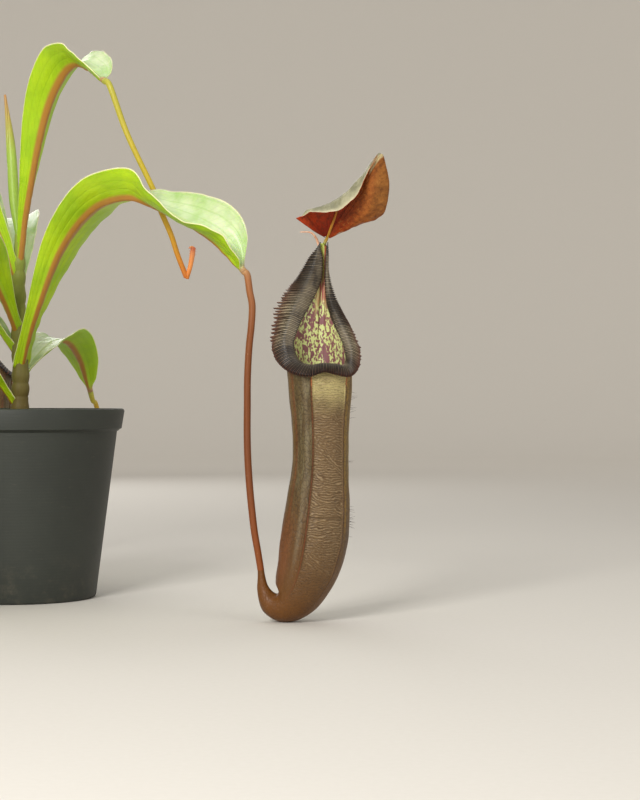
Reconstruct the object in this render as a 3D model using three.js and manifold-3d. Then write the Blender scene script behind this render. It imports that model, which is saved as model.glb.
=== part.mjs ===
// A potted nepenthes hybrid: a plain round pot of bark and moss, one short climbing stem,
// and leaves whose tips run on as tendrils, some of them ending in a pitcher.
// Millimetres, +Z up. The origin is the middle of the pot's flat underside.
import * as THREE from "three";
import { mergeVertices } from "three/addons/utils/BufferGeometryUtils.js";
import Module from "manifold-3d";

const wasm = await Module();
wasm.setup();

// Driving sizes

const GAP = 0.3; // clearance between pieces that touch
const THINNEST = 0.65; // no lid or lip is thinner than this, however small its pitcher
const FINEST = 0.12; // detail below this size is merged away, so that no face is a sliver

const POT = {
  rimRadius: 70, baseRadius: 51, height: 125, rimHeight: 15, rimStep: 3, wall: 2.2, floor: 3, edge: 1.8,
  holes: 6, holeRadius: 5, holeCircle: 34, facets: 32,
};
// rings: radius, height above the top and share of the lumps, from the edge to the stem's hole
const MEDIUM = {
  top: 112, edgeDrop: 3, collar: 1.5, lump: 3.2, facets: 24,
  rings: [[59, -0.5, 0.8], [42, 0, 1], [26, 1, 1], [14, 1.5, 0.7]],
};
const STEM = {
  path: [[0.5, 0.5, 66.3], [0.5, 0.5, 108], [1.5, -1, 150], [0, 0.5, 195], [1, -1, 240]],
  radii: [4.6, 5.4, 5.2, 4.6, 3.2],
  holeFloor: 66, steps: 10, sides: 10,
};
// A leaf's blade: sag lowers each half between midrib and margin, shoulder is the midrib's foot
const BLADE = { thickness: 0.9, sag: 0.4, ribDepth: 1.7, shoulder: 0.35, ribReach: 0.5, tipRadius: 2.0 };

// The large pitcher, in its own frame: x to the right and y away from whoever faces its mouth,
// z up from the surface that its base rests on.
const CUP = {
  // middle line in the plane y = 0, from the tendril round the base and up to the mouth
  axis: [
    [-34.8, 0, 30.5], [-33.4, 0, 19.5], [-28.6, 0, 11.4], [-20.8, 0, 10.6], [-13.4, 0, 17.6],
    [-7.2, 0, 31.5], [-3.7, 0, 47], [-2, 0, 60], [-0.9, 0, 73], [0, 0, 87], [0.4, 0, 100],
    [0.3, 0, 118], [0.1, 0, 139],
  ],
  radii: [2.0, 3.6, 7.2, 11.2, 15.0, 18.3, 19.8, 19.4, 18.4, 16.9, 16.4, 17.0, 18.9],
  wall: 1.1,
  // two raised wings, in degrees round from the front, rising between two shares of the height
  ribs: [-15, 51], ribHeight: 1.5, ribWidth: 3.5, ribFrom: [0.3, 0.5],
  hollowEnd: [-3.2, 0, -2.2], hollowTaper: 0.62, // how far the hollow reaches into the bend, and narrows
  neck: [[-0.4, 22.6, 224.6], [3.4, 22.6, 224.6]], // top corners of the narrow neck at the back
};
// The toothed lip round the mouth, from the left side of the neck down, across the front and up
const LIP = {
  inner: [
    [1.3, 18.6, 225], [1.0, 18.0, 213], [0.2, 17.2, 203], [-3.0, 15.4, 194.5], [-7.6, 11.6, 185.5],
    [-12.6, 6.0, 175.5], [-16.0, -1.0, 165], [-14.4, -8.2, 156.4], [-9.6, -12.8, 151],
    [-3.6, -14.6, 149.6], [2.2, -15.0, 150.4], [7.8, -14.4, 150.2], [12.6, -11.4, 149.6],
    [15.6, -6.4, 153.6], [14.6, -0.6, 162.4], [10.6, 5.6, 172], [6.9, 11.2, 181], [4.4, 14.8, 190],
    [2.9, 16.8, 202], [2.8, 18.0, 213], [3.2, 18.6, 225],
  ],
  outer: [
    [-1.6, 20.4, 225], [-8.0, 19.2, 213.6], [-13.8, 17.6, 203.5], [-20.0, 15.6, 196.4], [-25.4, 12.6, 188],
    [-28.4, 8.0, 177], [-28.8, 0.6, 164.6], [-25.2, -9.6, 154.4], [-17.6, -19.4, 147.8],
    [-7.2, -24.0, 144.9], [2.2, -23.6, 147.6], [10.4, -23.0, 146.0], [18.0, -18.4, 145.4],
    [23.2, -9.0, 151.4], [23.8, 0, 160.4], [19.6, 6.4, 171.4], [14.8, 11.4, 180.4], [10.2, 15.2, 190],
    [6.4, 18.2, 202], [4.6, 19.6, 213], [5.8, 20.4, 225],
  ],
  thickness: 1.0, crown: 0.2, ridgeHeight: 0.5, curl: 1.5, tuck: 1.3, fullWidth: 9, ridgeRunIn: 6,
  seat: 0.4, // share of the width, from the mouth outwards, where the cup's wall meets it
};
// The lid as a fan from its base: each ray rises to its fold and turns over to its free margin
const LID = {
  base: [4.0, 19.2, 227.2],
  folds: [
    [-6.2, 10.2, 232.6], [-8.8, 5.6, 240.2], [-4.2, 3.6, 242.6], [2.1, 2.8, 244.7], [7.6, 1.4, 247.2],
    [14.6, -1.4, 251.8], [20.2, -5.0, 257.0], [25.3, -9.0, 262.6], [29.2, -13.2, 267.6],
    [32.6, -17.0, 270.6], [32.2, -12.6, 262.0], [31.6, -7.4, 252.0], [28.6, 0.4, 241.4],
    [24.2, 6.4, 236.2], [16.6, 12.0, 232.6], [9.6, 16.4, 229.6],
  ],
  margins: [
    [-14.1, 4.2, 238.0], [-9.9, 3.4, 239.2], [-5.4, 0.2, 241.2], [0.2, -1.8, 240.7], [5.4, -3.2, 240.6],
    [11.6, -5.2, 242.2], [18.0, -8.2, 246.6], [23.6, -11.6, 253.0], [27.6, -14.8, 262.2],
    [35.1, -19.6, 272.6], [38.0, -15.4, 267.8], [40.5, -7.2, 255.2], [38.3, 2.4, 242.2],
    [33.2, 7.0, 237.4], [21.8, 12.2, 234.4], [12.6, 16.2, 230.6],
  ],
  thickness: 0.9, foldAt: 0.74, sag: [0, 1.4, -1.6], sagReach: 40, innerReach: 2,
  keel: [[2.6, 19.4, 225.4], [4.0, 19.2, 227.2], [6.2, 14.2, 232.4], [8.6, 9.4, 238.4], [10.6, 4.4, 244.2]],
  keelRadii: [1.3, 1.2, 0.9, 0.8, 0.5],
};
const SPUR = {
  path: [[-0.2, 23.8, 221.5], [-2.4, 24.6, 227.2], [-5.4, 25.8, 230.6], [-11.6, 27.6, 230.4]],
  radii: [0.8, 0.7, 0.6, 0.35],
};

// The leaf, tendril and pitcher that the whole plant is arranged round
const LARGE_PITCHER_AT = [200, -140, 0];
const LEAF_A = {
  midrib: [
    [1, -1, 150], [12, -16, 182], [33, -44, 225], [58, -77, 249], [83.5, -110, 253.3],
    [98.5, -118, 248.6], [113, -126, 241.1], [127.5, -133, 232.6], [139.2, -138, 223.7],
    [148, -140, 214.8], [155.3, -140, 206.2],
  ],
  near: [
    [-3, -6, 153], [7, -19, 186], [25, -53, 236], [52, -94, 264.5], [85, -126, 268.8],
    [99.5, -141, 252.6], [115, -150, 238.2], [130.4, -155.5, 231.6], [142.4, -156, 226.6],
    [150.6, -149.5, 216.2], [156.2, -141.6, 207.4],
  ],
  far: [
    [6, 3, 153], [18, -12, 186], [46, -34, 230], [71, -58, 252], [84, -86, 257],
    [97.4, -98, 258.4], [113.5, -109, 256.8], [132.3, -122, 252.9], [148.1, -134, 245.2],
    [156.6, -139.4, 231.5], [157.4, -139.8, 208.6],
  ],
};
const TENDRIL_A = [
  [158.6, -140, 194.6], [160.1, -140, 186], [159.6, -140, 174.3], [158.2, -139.6, 160.6],
  [157.3, -139, 143.1], [157.2, -138.6, 127.5], [157.1, -138.4, 111.8], [157.5, -138.6, 96.2],
  [158.5, -139, 80.6], [159.8, -139.4, 66.9], [161.4, -139.8, 53.3], [163.6, -140, 40.5], [165.2, -140, 30.9],
];
const TENDRIL_A_RADII = [2.0, 2.05, 2.05, 2.1, 2.1, 2.0];

// Leaves that arch out from the stem: where they aim in degrees, heights of the foot, crown and tip above
// the pot's underside, reach of the tip from the stem, half width, fold and number of edge waves
const LEAVES = {
  leaf_b: { aim: -53, foot: 222, crown: 342, tip: 327, reach: 112, half: 19, fold: 34, wave: 1.2, waves: 2 },
  leaf_c: { aim: 104, foot: 189, crown: 262, tip: 214, reach: 196, half: 25, fold: 20, wave: 2.2, waves: 3 },
  leaf_d: { aim: 174, foot: 163, crown: 244, tip: 204, reach: 206, half: 27, fold: 22, wave: 2.4, waves: 3 },
  leaf_e: { aim: 250, foot: 176, crown: 246, tip: 190, reach: 192, half: 25, fold: 20, wave: 2.2, waves: 3 },
  leaf_f: { aim: 72, foot: 141, crown: 173, tip: 137, reach: 112, half: 17, fold: 16, wave: 1.6, waves: 2 },
  leaf_g: { aim: 139, foot: 201, crown: 304, tip: 268, reach: 160, half: 23, fold: 26, wave: 1.8, waves: 2 },
  leaf_h: { aim: 207, foot: 213, crown: 322, tip: 300, reach: 132, half: 21, fold: 28, wave: 1.6, waves: 2 },
  leaf_i: { aim: 207, foot: 128, crown: 184, tip: 140, reach: 150, half: 21, fold: 14, wave: 2.2, waves: 3 },
};
// Pitchers on the arching leaves: size against the large one, height of the base above the surface,
// and which way the mouth faces (1 as on the large one, -1 mirrored)
const PITCHER_SIDE = 43; // from a large pitcher's middle to the line its tendril hangs in
const HANG = 9; // how far a tendril runs on past its leaf before it hangs straight down
const PITCHERS = {
  c: { leaf: "leaf_c", size: 0.78, lift: 34, facing: 1 },
  d: { leaf: "leaf_d", size: 0.93, lift: 0, facing: -1 },
  e: { leaf: "leaf_e", size: 0.56, lift: 58, facing: 1 },
};
// Young tendrils that end in a bud turned up from their end. Either by points, or by how far the end
// lies below and beyond the leaf's tip and how high the bud stands.
const YOUNG_RADII = [2.0, 1.75, 1.7, 1.6];
const BUD_RADII = [1.3, 1.75, 1.9, 1.2];
const YOUNG = {
  b: {
    leaf: "leaf_b",
    tendril: [
      [79.5, -94.4, 299.6], [86, -94.6, 284.3], [98.3, -94.2, 258.5], [102.2, -93.6, 247],
      [108.6, -92.8, 232], [112.4, -92, 220.2], [117.8, -91.4, 206.2],
    ],
    bud: [[118.2, -91.4, 205.4], [120.2, -91.6, 212.2], [121.4, -91.9, 218.6], [122.2, -92.2, 224]],
  },
  g: { leaf: "leaf_g", drop: 104, out: 34, budRise: 26 },
  h: { leaf: "leaf_h", drop: 84, out: 26, budRise: 17 },
  f: { leaf: "leaf_f", drop: 46, out: 26, budRise: 12 },
  i: { leaf: "leaf_i", drop: 62, out: 30, budRise: 15 },
};
const SPEAR = {
  path: [[-0.3, 0.7, 240.5], [-3.5, 4, 264], [-6, 6, 300], [-10, 7, 334]],
  radii: [1.9, 3.4, 3.0, 0.8],
};

const COLOURS = {
  pot: [0x2c2e2b, 0.55], medium: [0x5a4330, 0.95], stem: [0x6f6a35, 0.7], leaf: [0x7fa83c, 0.45],
  tendril: [0x8f5130, 0.5], youngTendril: [0xb08a2c, 0.5], cup: [0x4d3a26, 0.5], lip: [0x2a211d, 0.3],
  lid: [0x9a4b20, 0.55], spur: [0xe0b090, 0.6], bud: [0xc8743a, 0.55], spear: [0x93b84e, 0.5],
};

// Small mathematics

const vec = (p) => new THREE.Vector3(...p);
const curve = (points) => new THREE.CatmullRomCurve3(points.map(vec), false, "catmullrom", 0.5);
const mix = THREE.MathUtils.lerp;
const rad = THREE.MathUtils.degToRad;
const UP = new THREE.Vector3(0, 0, 1);

// A smooth value at t from values spread evenly over 0 to 1
function along(values, t) {
  const last = values.length - 1;
  const at = THREE.MathUtils.clamp(t, 0, 1) * last;
  const i = Math.min(Math.floor(at), last - 1);
  const f = at - i;
  const [a, b, c, d] = [values[Math.max(i - 1, 0)], values[i], values[i + 1], values[Math.min(i + 2, last)]];
  return b + 0.5 * f * (c - a + f * (2 * a - 5 * b + 4 * c - d + f * (3 * (b - c) + d - a)));
}

// Closed surfaces from rings of points

// Joins rings of equal length into one closed body. The first and last ring are closed by zipping
// their two halves together. The second half of a ring has its diagonals turned, so that the two
// faces of a thin blade are split alike.
function loft(rings) {
  const count = rings[0].length;
  const half = count / 2;
  const points = rings.flat();
  const faces = [];
  const quad = (a, b, c, d, turned) => {
    if (turned) faces.push(a, b, d, b, c, d);
    else faces.push(a, b, c, a, c, d);
  };
  for (let i = 0; i + 1 < rings.length; i++)
    for (let j = 0; j < count; j++) {
      const k = (j + 1) % count;
      quad(i * count + j, i * count + k, (i + 1) * count + k, (i + 1) * count + j, j >= half);
    }
  for (const [row, outward] of [[0, false], [rings.length - 1, true]])
    for (let j = 0; j + 1 < half; j++) {
      const cap = [j, j + 1, count - 2 - j, count - 1 - j].map((n) => row * count + n);
      if (outward) quad(...cap, false);
      else quad(...cap.reverse(), true);
    }
  const geometry = new THREE.BufferGeometry();
  geometry.setAttribute("position", new THREE.Float32BufferAttribute(points.flatMap((p) => p.toArray()), 3));
  geometry.setIndex(volumeOf(points, faces) < 0 ? faces.reverse() : faces);
  return geometry;
}

function volumeOf(points, faces) {
  let sum = 0;
  const normal = new THREE.Vector3();
  for (let i = 0; i < faces.length; i += 3)
    sum += points[faces[i]].dot(normal.crossVectors(points[faces[i + 1]], points[faces[i + 2]]));
  return sum / 6;
}

function solidOf(geometry) {
  const plain = geometry.clone();
  plain.deleteAttribute("normal");
  plain.deleteAttribute("uv");
  const merged = mergeVertices(plain, 1e-4);
  return new wasm.Manifold(
    new wasm.Mesh({
      numProp: 3,
      vertProperties: merged.attributes.position.array,
      triVerts: new Uint32Array(merged.index.array),
    }),
  );
}

// The largest body of a result, without slivers
function geometryOf(body) {
  const largest = body.decompose().sort((a, b) => b.volume() - a.volume())[0];
  const mesh = largest.asOriginal().simplify(FINEST).getMesh();
  const geometry = new THREE.BufferGeometry();
  geometry.setAttribute("position", new THREE.BufferAttribute(new Float32Array(mesh.vertProperties), 3));
  geometry.setIndex(new THREE.BufferAttribute(new Uint32Array(mesh.triVerts), 1));
  return geometry;
}

// Rings round a path, each square to it, with the radius that radiusAt gives
function tubeRings(path, radiusAt, steps, sides) {
  const rings = [];
  let side = null;
  for (let i = 0; i <= steps; i++) {
    const t = i / steps;
    const centre = path.getPoint(t);
    const ahead = path.getTangent(t);
    if (!side) side = new THREE.Vector3(0, 1, 0).cross(ahead);
    side.addScaledVector(ahead, -side.dot(ahead)).normalize();
    const across = ahead.clone().cross(side);
    rings.push(
      Array.from({ length: sides }, (_, j) => {
        const angle = (2 * Math.PI * j) / sides;
        return centre
          .clone()
          .addScaledVector(side, Math.cos(angle) * radiusAt(t))
          .addScaledVector(across, Math.sin(angle) * radiusAt(t));
      }),
    );
  }
  return rings;
}

// A round rod along points. extra makes it that much thicker and longer at both ends.
function tube(points, radii, steps, sides, extra = 0) {
  const reach = (end, before) =>
    vec(end).addScaledVector(vec(end).sub(vec(before)).normalize(), extra).toArray();
  const last = points.length - 1;
  const path = [reach(points[0], points[1]), ...points.slice(1, last), reach(points[last], points[last - 1])];
  return loft(tubeRings(curve(path), (t) => along(radii, t) + extra, steps, sides));
}

// Pot and growing medium

function pot() {
  const wallRadius = (z) => mix(POT.baseRadius, POT.rimRadius - POT.rimStep, z / POT.height);
  const rimFoot = POT.height - POT.rimHeight;
  const profile = [
    [0, 0], [POT.baseRadius - POT.edge, 0], [wallRadius(POT.edge), POT.edge], [wallRadius(rimFoot), rimFoot],
    [wallRadius(rimFoot) + POT.rimStep, rimFoot + POT.edge], [POT.rimRadius, POT.height - POT.edge],
    [POT.rimRadius - POT.edge, POT.height], [POT.rimRadius - POT.rimStep - POT.wall, POT.height],
    [wallRadius(POT.floor) - POT.wall, POT.floor], [0, POT.floor],
  ].map(([r, z]) => new THREE.Vector2(r, z));
  const body = new THREE.LatheGeometry(profile, POT.facets).rotateX(Math.PI / 2);
  let shell = solidOf(body);
  for (let i = 0; i < POT.holes; i++) {
    const turn = (2 * Math.PI * i) / POT.holes;
    const drill = new THREE.CylinderGeometry(POT.holeRadius, POT.holeRadius, 4 * POT.floor, 8);
    drill.rotateX(Math.PI / 2).translate(POT.holeCircle * Math.cos(turn), POT.holeCircle * Math.sin(turn), 0);
    shell = shell.subtract(solidOf(drill));
  }
  return geometryOf(shell);
}

// Loose bark and moss: an uneven top with a plain hole down the middle for the stem
function medium() {
  const taper = (z) => mix(POT.baseRadius, POT.rimRadius - POT.rimStep, z / POT.height);
  const wallRadius = (z) => taper(z) - POT.wall - 2 * GAP;
  const low = POT.floor + GAP;
  const [holeX, holeY] = STEM.path[1];
  const holeRadius = STEM.radii[1] + 2 * GAP;
  const lumps = (x, y) =>
    MEDIUM.lump *
    (0.5 * Math.sin(x * 0.21 + 1.1) * Math.cos(y * 0.17) +
      0.35 * Math.sin(x * 0.43 - y * 0.37) +
      0.3 * Math.cos(y * 0.51 + x * 0.12));
  const ring = (radius, height, share = 0, middleX = 0, middleY = 0) =>
    Array.from({ length: MEDIUM.facets }, (_, j) => {
      const angle = (2 * Math.PI * j) / MEDIUM.facets;
      const [x, y] = [middleX + radius * Math.cos(angle), middleY + radius * Math.sin(angle)];
      return new THREE.Vector3(x, y, height + share * lumps(x, y));
    });
  const { top } = MEDIUM;
  const edge = top - MEDIUM.edgeDrop;
  const middle = 3; // radius of the small facet that closes the bottom and the hole
  return loft([
    ring(middle, low), ring(wallRadius(low), low), ring(wallRadius(edge), edge),
    ...MEDIUM.rings.map(([radius, above, share]) => ring(radius, top + above, share)),
    ring(holeRadius, top + MEDIUM.collar, 0, holeX, holeY), ring(holeRadius, STEM.holeFloor, 0, holeX, holeY),
    ring(middle, STEM.holeFloor, 0, holeX, holeY),
  ]);
}

const stem = (extra = 0) => tube(STEM.path, STEM.radii, STEM.steps, STEM.sides, extra);

// Leaves

// Points across a blade, with the midrib at 0
const ACROSS_FINE = [-1, -0.55, -0.12, 0, 0.12, 0.55, 1];
const ACROSS_COARSE = [-1, -0.5, 0, 0.5, 1];

// A ring round a blade at one place along it: over the upper face, then back under the lower one
function bladeRing(middle, left, right, ahead, spots) {
  const upperOf = (edge, sign) =>
    ahead.clone().cross(edge.clone().sub(middle)).multiplyScalar(sign).normalize();
  const leftUp = upperOf(left, 1);
  const rightUp = upperOf(right, -1);
  const midUp = leftUp.clone().add(rightUp).normalize();
  const rows = spots.map((v) => {
    const edge = v < 0 ? left : right;
    const up = v === 0 ? midUp : v < 0 ? leftUp : rightUp;
    const share = Math.abs(v);
    const sag = BLADE.sag * edge.distanceTo(middle) * share * (1 - share);
    const point = middle.clone().lerp(edge, share).addScaledVector(up, -sag);
    const nearRib = Math.max(0, 1 - share / BLADE.ribReach);
    const under = BLADE.thickness / 2 + BLADE.ribDepth * (share === 0 ? 1 : BLADE.shoulder * nearRib);
    return {
      top: point.clone().addScaledVector(up, BLADE.thickness / 2),
      bottom: point.clone().addScaledVector(up, -under),
    };
  });
  return [...rows.map((r) => r.top), ...rows.map((r) => r.bottom).reverse()];
}

// The same blade point list at the very tip, drawn in to the tendril's round section
function tipRing(centre, left, right, ahead, radius, count) {
  const across = right.clone().sub(left);
  across.addScaledVector(ahead, -across.dot(ahead)).normalize();
  const up = across.clone().cross(ahead).normalize();
  const at = (angle) =>
    centre
      .clone()
      .addScaledVector(across, -Math.cos(angle) * radius)
      .addScaledVector(up, Math.sin(angle) * radius);
  const top = Array.from({ length: count }, (_, i) => at((Math.PI * (i + 0.5)) / count));
  const bottom = Array.from({ length: count }, (_, i) => at((-Math.PI * (i + 0.5)) / count));
  return [...top, ...bottom.reverse()];
}

// A leaf between its midrib and its two margins, with the place and direction of its tip
function leafFromRails(rails, steps, spots) {
  const [middle, left, right] = [rails.midrib, rails.far, rails.near].map(curve);
  const rings = [];
  for (let i = 0; i < steps; i++) {
    const t = i / steps;
    const [centre, far, near] = [middle, left, right].map((rail) => rail.getPoint(t));
    rings.push(bladeRing(centre, far, near, middle.getTangent(t), spots));
  }
  const tip = middle.getPoint(1);
  const ahead = middle.getTangent(1);
  rings.push(tipRing(tip, left.getPoint(0.97), right.getPoint(0.97), ahead, BLADE.tipRadius, spots.length));
  return { geometry: loft(rings), tip, ahead };
}

// Half width of an arching leaf along it: clasping foot, narrow winged stalk, broad blade, drawn-out tip
const LEAF_SHAPE = [0.22, 0.2, 0.34, 0.66, 0.9, 1, 0.98, 0.84, 0.56, 0.14];
const WAVE_SHAPE = [0, 0.3, 1, 1, 0.4, 0]; // how much the margins ripple along a leaf

// Midrib and margins of an arching leaf
function archedRails({ aim, foot, crown, tip, reach, half, fold, wave, waves }, samples = 12) {
  const turn = rad(aim);
  const out = (r, z) => [r * Math.cos(turn), r * Math.sin(turn), z];
  const middle = curve([
    out(2, foot), out(0.1 * reach, mix(foot, crown, 0.3)), out(0.33 * reach, mix(foot, crown, 0.78)),
    out(0.62 * reach, crown), out(0.85 * reach, mix(tip, crown, 0.66)), out(reach, tip),
  ]);
  const rails = { midrib: [], near: [], far: [] };
  for (let i = 0; i <= samples; i++) {
    const t = i / samples;
    const centre = middle.getPoint(t);
    const ahead = middle.getTangent(t);
    const side = ahead.clone().cross(UP).normalize();
    const up = side.clone().cross(ahead);
    const width = half * along(LEAF_SHAPE, t);
    const lift = rad(fold * mix(1.6, 0.7, t));
    rails.midrib.push(centre.toArray());
    for (const [name, sign, phase] of [["near", 1, 0.4], ["far", -1, 2.2]]) {
      const ripple = wave * along(WAVE_SHAPE, t) * Math.sin(2 * Math.PI * waves * t + phase);
      const edge = centre.clone().addScaledVector(side, sign * width * Math.cos(lift));
      rails[name].push(edge.addScaledVector(up, width * Math.sin(lift) + ripple).toArray());
    }
  }
  return rails;
}

// Pitchers

// How finely a pitcher is cut. columns: degrees round the cup from the front, and the place along the
// lip, from 0 to 1, under which the wall ends there, or else that corner of the neck. outer, inner:
// rings along the middle line outside and in the hollow, counted in that line's points.
const [NECK_LEFT, NECK_RIGHT] = CUP.neck;
const FINE = {
  columns: [
    [18, 0.526], [2, 0.489], [-9, 0.464], [-15, 0.4505], [-21, 0.4375], [-40, 0.397], [-60, 0.357],
    [-80, 0.314], [-102, 0.257], [-122, 0.205], [-140, 0.16], [-154, 0.12], [-163, 0.085], [-169, 0.05],
    [-173, 0.012],
    [-177, NECK_LEFT], [-183, NECK_RIGHT], [-187, 0.988], [-191, 0.945], [-196, 0.89], [-203, 0.855],
    [-213, 0.823], [-228, 0.788], [-246, 0.757], [-264, 0.722], [-282, 0.678], [-296, 0.643], [-303, 0.628],
    [-309, 0.612], [-315, 0.6], [-329, 0.559],
  ],
  outer: [0, 0.6, 1.2, 1.7, 2.1, 2.5, 2.9, 3.3, 3.8, 4.4, 5.2, 6.2, 7.4, 8.8, 10.4, 12],
  inner: [12, 9.8, 7.8, 6, 4.8, 4, 3.4, 3],
  collars: [0.4, 1], seatGap: 1.2, ridges: 32, lidRays: 20, sides: 6,
};
const COARSE = {
  columns: [
    [18, 0.526], [-8, 0.467], [-15, 0.4505], [-22, 0.435], [-50, 0.377], [-85, 0.303], [-120, 0.21],
    [-148, 0.138], [-163, 0.085], [-172, 0.02], [-177, NECK_LEFT], [-183, NECK_RIGHT], [-188, 0.98],
    [-195, 0.9], [-206, 0.845], [-235, 0.777], [-268, 0.712], [-296, 0.643], [-303, 0.628],
    [-309, 0.612], [-316, 0.598],
  ],
  outer: [0, 0.9, 1.6, 2.2, 2.8, 3.5, 4.3, 5.6, 7.2, 9.4, 12],
  inner: [12, 8.4, 6, 4.2, 3],
  collars: [0.45, 1], seatGap: 1.6, ridges: 15, lidRays: 10, sides: 4,
};

// How far the two wings stand out at an angle round the cup
const ribAt = (angle) =>
  CUP.ribs.reduce((sum, rib) => {
    const off = ((((angle - rib) % 360) + 540) % 360) - 180;
    return sum + CUP.ribHeight * Math.exp(-((off / CUP.ribWidth) ** 2));
  }, 0);

// A ring round the cup at t along its middle line; inset is 0 outside and the wall's thickness inside
function cupRing(t, inset, columns) {
  const path = curve(CUP.axis);
  const centre = path.getPoint(t);
  const ahead = path.getTangent(t);
  const side = new THREE.Vector3(ahead.z, 0, -ahead.x);
  const radius = along(CUP.radii, t) - inset;
  const ribShare = inset > 0 ? 0 : THREE.MathUtils.smoothstep(t, ...CUP.ribFrom);
  return columns.map(([angle]) => {
    const r = radius + ribShare * ribAt(angle);
    const point = centre.clone().addScaledVector(side, r * Math.sin(rad(angle)));
    point.y -= r * Math.cos(rad(angle));
    point.z = Math.max(point.z, inset);
    return point;
  });
}

// Rings between the top of the round body and the slanting upper edge under the lip
function collarRing(share, inset, { columns, seatGap }) {
  const from = cupRing(1, inset, columns);
  const eased = share * share * (3 - 2 * share);
  return columns.map(([, place], i) => {
    const edge = Array.isArray(place) ? vec(place).setY(place[1] - inset) : lipSeat(place, inset, seatGap);
    return from[i].clone().lerp(edge, eased).setZ(mix(from[i].z, edge.z, share));
  });
}

// The hollow cup: up the outside, over the edge and down the inside to the end of the hollow
function cup(detail) {
  const { columns, collars } = detail;
  const spots = CUP.axis.length - 1;
  const outer = detail.outer.map((at) => cupRing(at / spots, 0, columns));
  const inner = detail.inner.map((at) => cupRing(at / spots, CUP.wall, columns));
  const rim = collars.map((share) => collarRing(share, 0, detail));
  const lining = collars.map((share) => collarRing(share, CUP.wall, detail)).reverse();
  const last = inner[inner.length - 1];
  const middle = last.reduce((sum, p) => sum.add(p), new THREE.Vector3()).divideScalar(last.length);
  middle.add(vec(CUP.hollowEnd));
  const end = last.map((p) => p.clone().lerp(middle, CUP.hollowTaper));
  return geometryOf(solidOf(loft([...outer, ...rim, ...lining, ...inner, end])));
}

// Directions at one place round the lip
const LIP_INNER = curve(LIP.inner);
const LIP_OUTER = curve(LIP.outer);
function lipFrame(t) {
  const from = LIP_INNER.getPoint(t);
  const across = LIP_OUTER.getPoint(t).sub(from);
  const width = across.length();
  across.normalize();
  const round = LIP_INNER.getTangent(t).add(LIP_OUTER.getTangent(t));
  const up = across.clone().cross(round).normalize();
  const place = (a, b) => from.clone().addScaledVector(across, a).addScaledVector(up, b);
  return { width, place };
}

// Where the cup's wall ends below the lip
function lipSeat(t, inset, gap) {
  const { width, place } = lipFrame(t);
  return place(LIP.seat * width - inset, LIP.crown * width - LIP.thickness / 2 - gap);
}

// Ring across the lip at one place round the mouth. Each spot across it: distance from the inner
// edge, height, and how much of a ridge stands on it.
function lipRing(t, ridge, half) {
  const { width, place } = lipFrame(t);
  const crown = LIP.crown * width + 0.5 * LIP.thickness;
  const turned = Math.min(1, width / LIP.fullWidth);
  const spots = [
    [-0.3, -LIP.tuck * turned, 0], [0.1, 0.3, 0.5], [LIP.seat * width, crown, 1], [width - 0.4, 0, 1],
    [width - 0.5, -LIP.curl * turned, 0.6],
  ];
  const top = [];
  const bottom = [];
  spots.forEach(([a, b, ribbed], i) => {
    const before = spots[Math.max(i - 1, 0)];
    const after = spots[Math.min(i + 1, spots.length - 1)];
    const slope = new THREE.Vector2(after[0] - before[0], after[1] - before[1]).normalize();
    const [nx, ny] = [-slope.y, slope.x];
    const raised = half + LIP.ridgeHeight * ridge * ribbed;
    top.push(place(a + nx * raised, b + ny * raised));
    bottom.push(place(a - nx * half, b - ny * half));
  });
  return [...top, ...bottom.reverse()];
}

function lip({ ridges }, thickness) {
  const steps = 2 * ridges;
  const ridge = (i) => (i % 2) * Math.min(1, i / LIP.ridgeRunIn, (steps - i) / LIP.ridgeRunIn);
  return loft(Array.from({ length: steps + 1 }, (_, i) => lipRing(i / steps, ridge(i), thickness / 2)));
}

// The lid with its keel, kept clear of the neck below it
function lid({ lidRays, sides }, thickness, clear) {
  const shares = [0.45, LID.foldAt - 0.06, LID.foldAt + 0.06, 1];
  const base = vec(LID.base);
  const folds = curve(LID.folds);
  const margins = curve(LID.margins);
  const grid = Array.from({ length: lidRays + 1 }, (_, k) => {
    const t = k / lidRays;
    const [fold, margin] = [folds.getPoint(t), margins.getPoint(t)];
    const sag = vec(LID.sag).multiplyScalar(Math.min(1, base.distanceTo(fold) / LID.sagReach) ** 2);
    const halfway = base.clone().lerp(fold, 0.5).add(sag);
    const ray = curve([base.toArray(), halfway.toArray(), fold.toArray(), margin.toArray()]);
    const onRay = (s) =>
      (s < LID.foldAt ? (2 * s) / LID.foldAt : 2 + (s - LID.foldAt) / (1 - LID.foldAt)) / 3;
    return [LID.innerReach / base.distanceTo(margin), ...shares].map((s) => ray.getPoint(onRay(s)));
  });
  const rings = grid.map((row, k) => {
    const before = grid[Math.max(k - 1, 0)];
    const after = grid[Math.min(k + 1, lidRays)];
    const faces = row.map((point, i) => {
      const round = after[i].clone().sub(before[i]);
      const out = row[Math.min(i + 1, row.length - 1)].clone().sub(row[Math.max(i - 1, 0)]);
      return { point, up: round.cross(out).normalize() };
    });
    const face = (out) => faces.map(({ point, up }) => point.clone().addScaledVector(up, out));
    return [...face(thickness / 2), ...face(-thickness / 2).reverse()];
  });
  const keel = solidOf(tube(LID.keel, LID.keelRadii, sides, sides));
  const neckTop = LIP.inner[0][2] + LIP.thickness / 2;
  const below = new THREE.BoxGeometry(200, 200, 20).translate(0, 0, neckTop + clear - 10);
  return geometryOf(solidOf(loft(rings)).add(keel).subtract(solidOf(below)));
}

// Assembly

const plant = new THREE.Group();

function add(name, geometry, look, parent = plant) {
  const [color, roughness] = COLOURS[look];
  const mesh = new THREE.Mesh(geometry, new THREE.MeshStandardMaterial({ color, roughness, metalness: 0 }));
  mesh.name = name;
  parent.add(mesh);
  return mesh;
}

// A leaf without what its foot shares with the stem
function seated(geometry) {
  return geometryOf(solidOf(geometry).subtract(solidOf(stem(GAP))));
}

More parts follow.
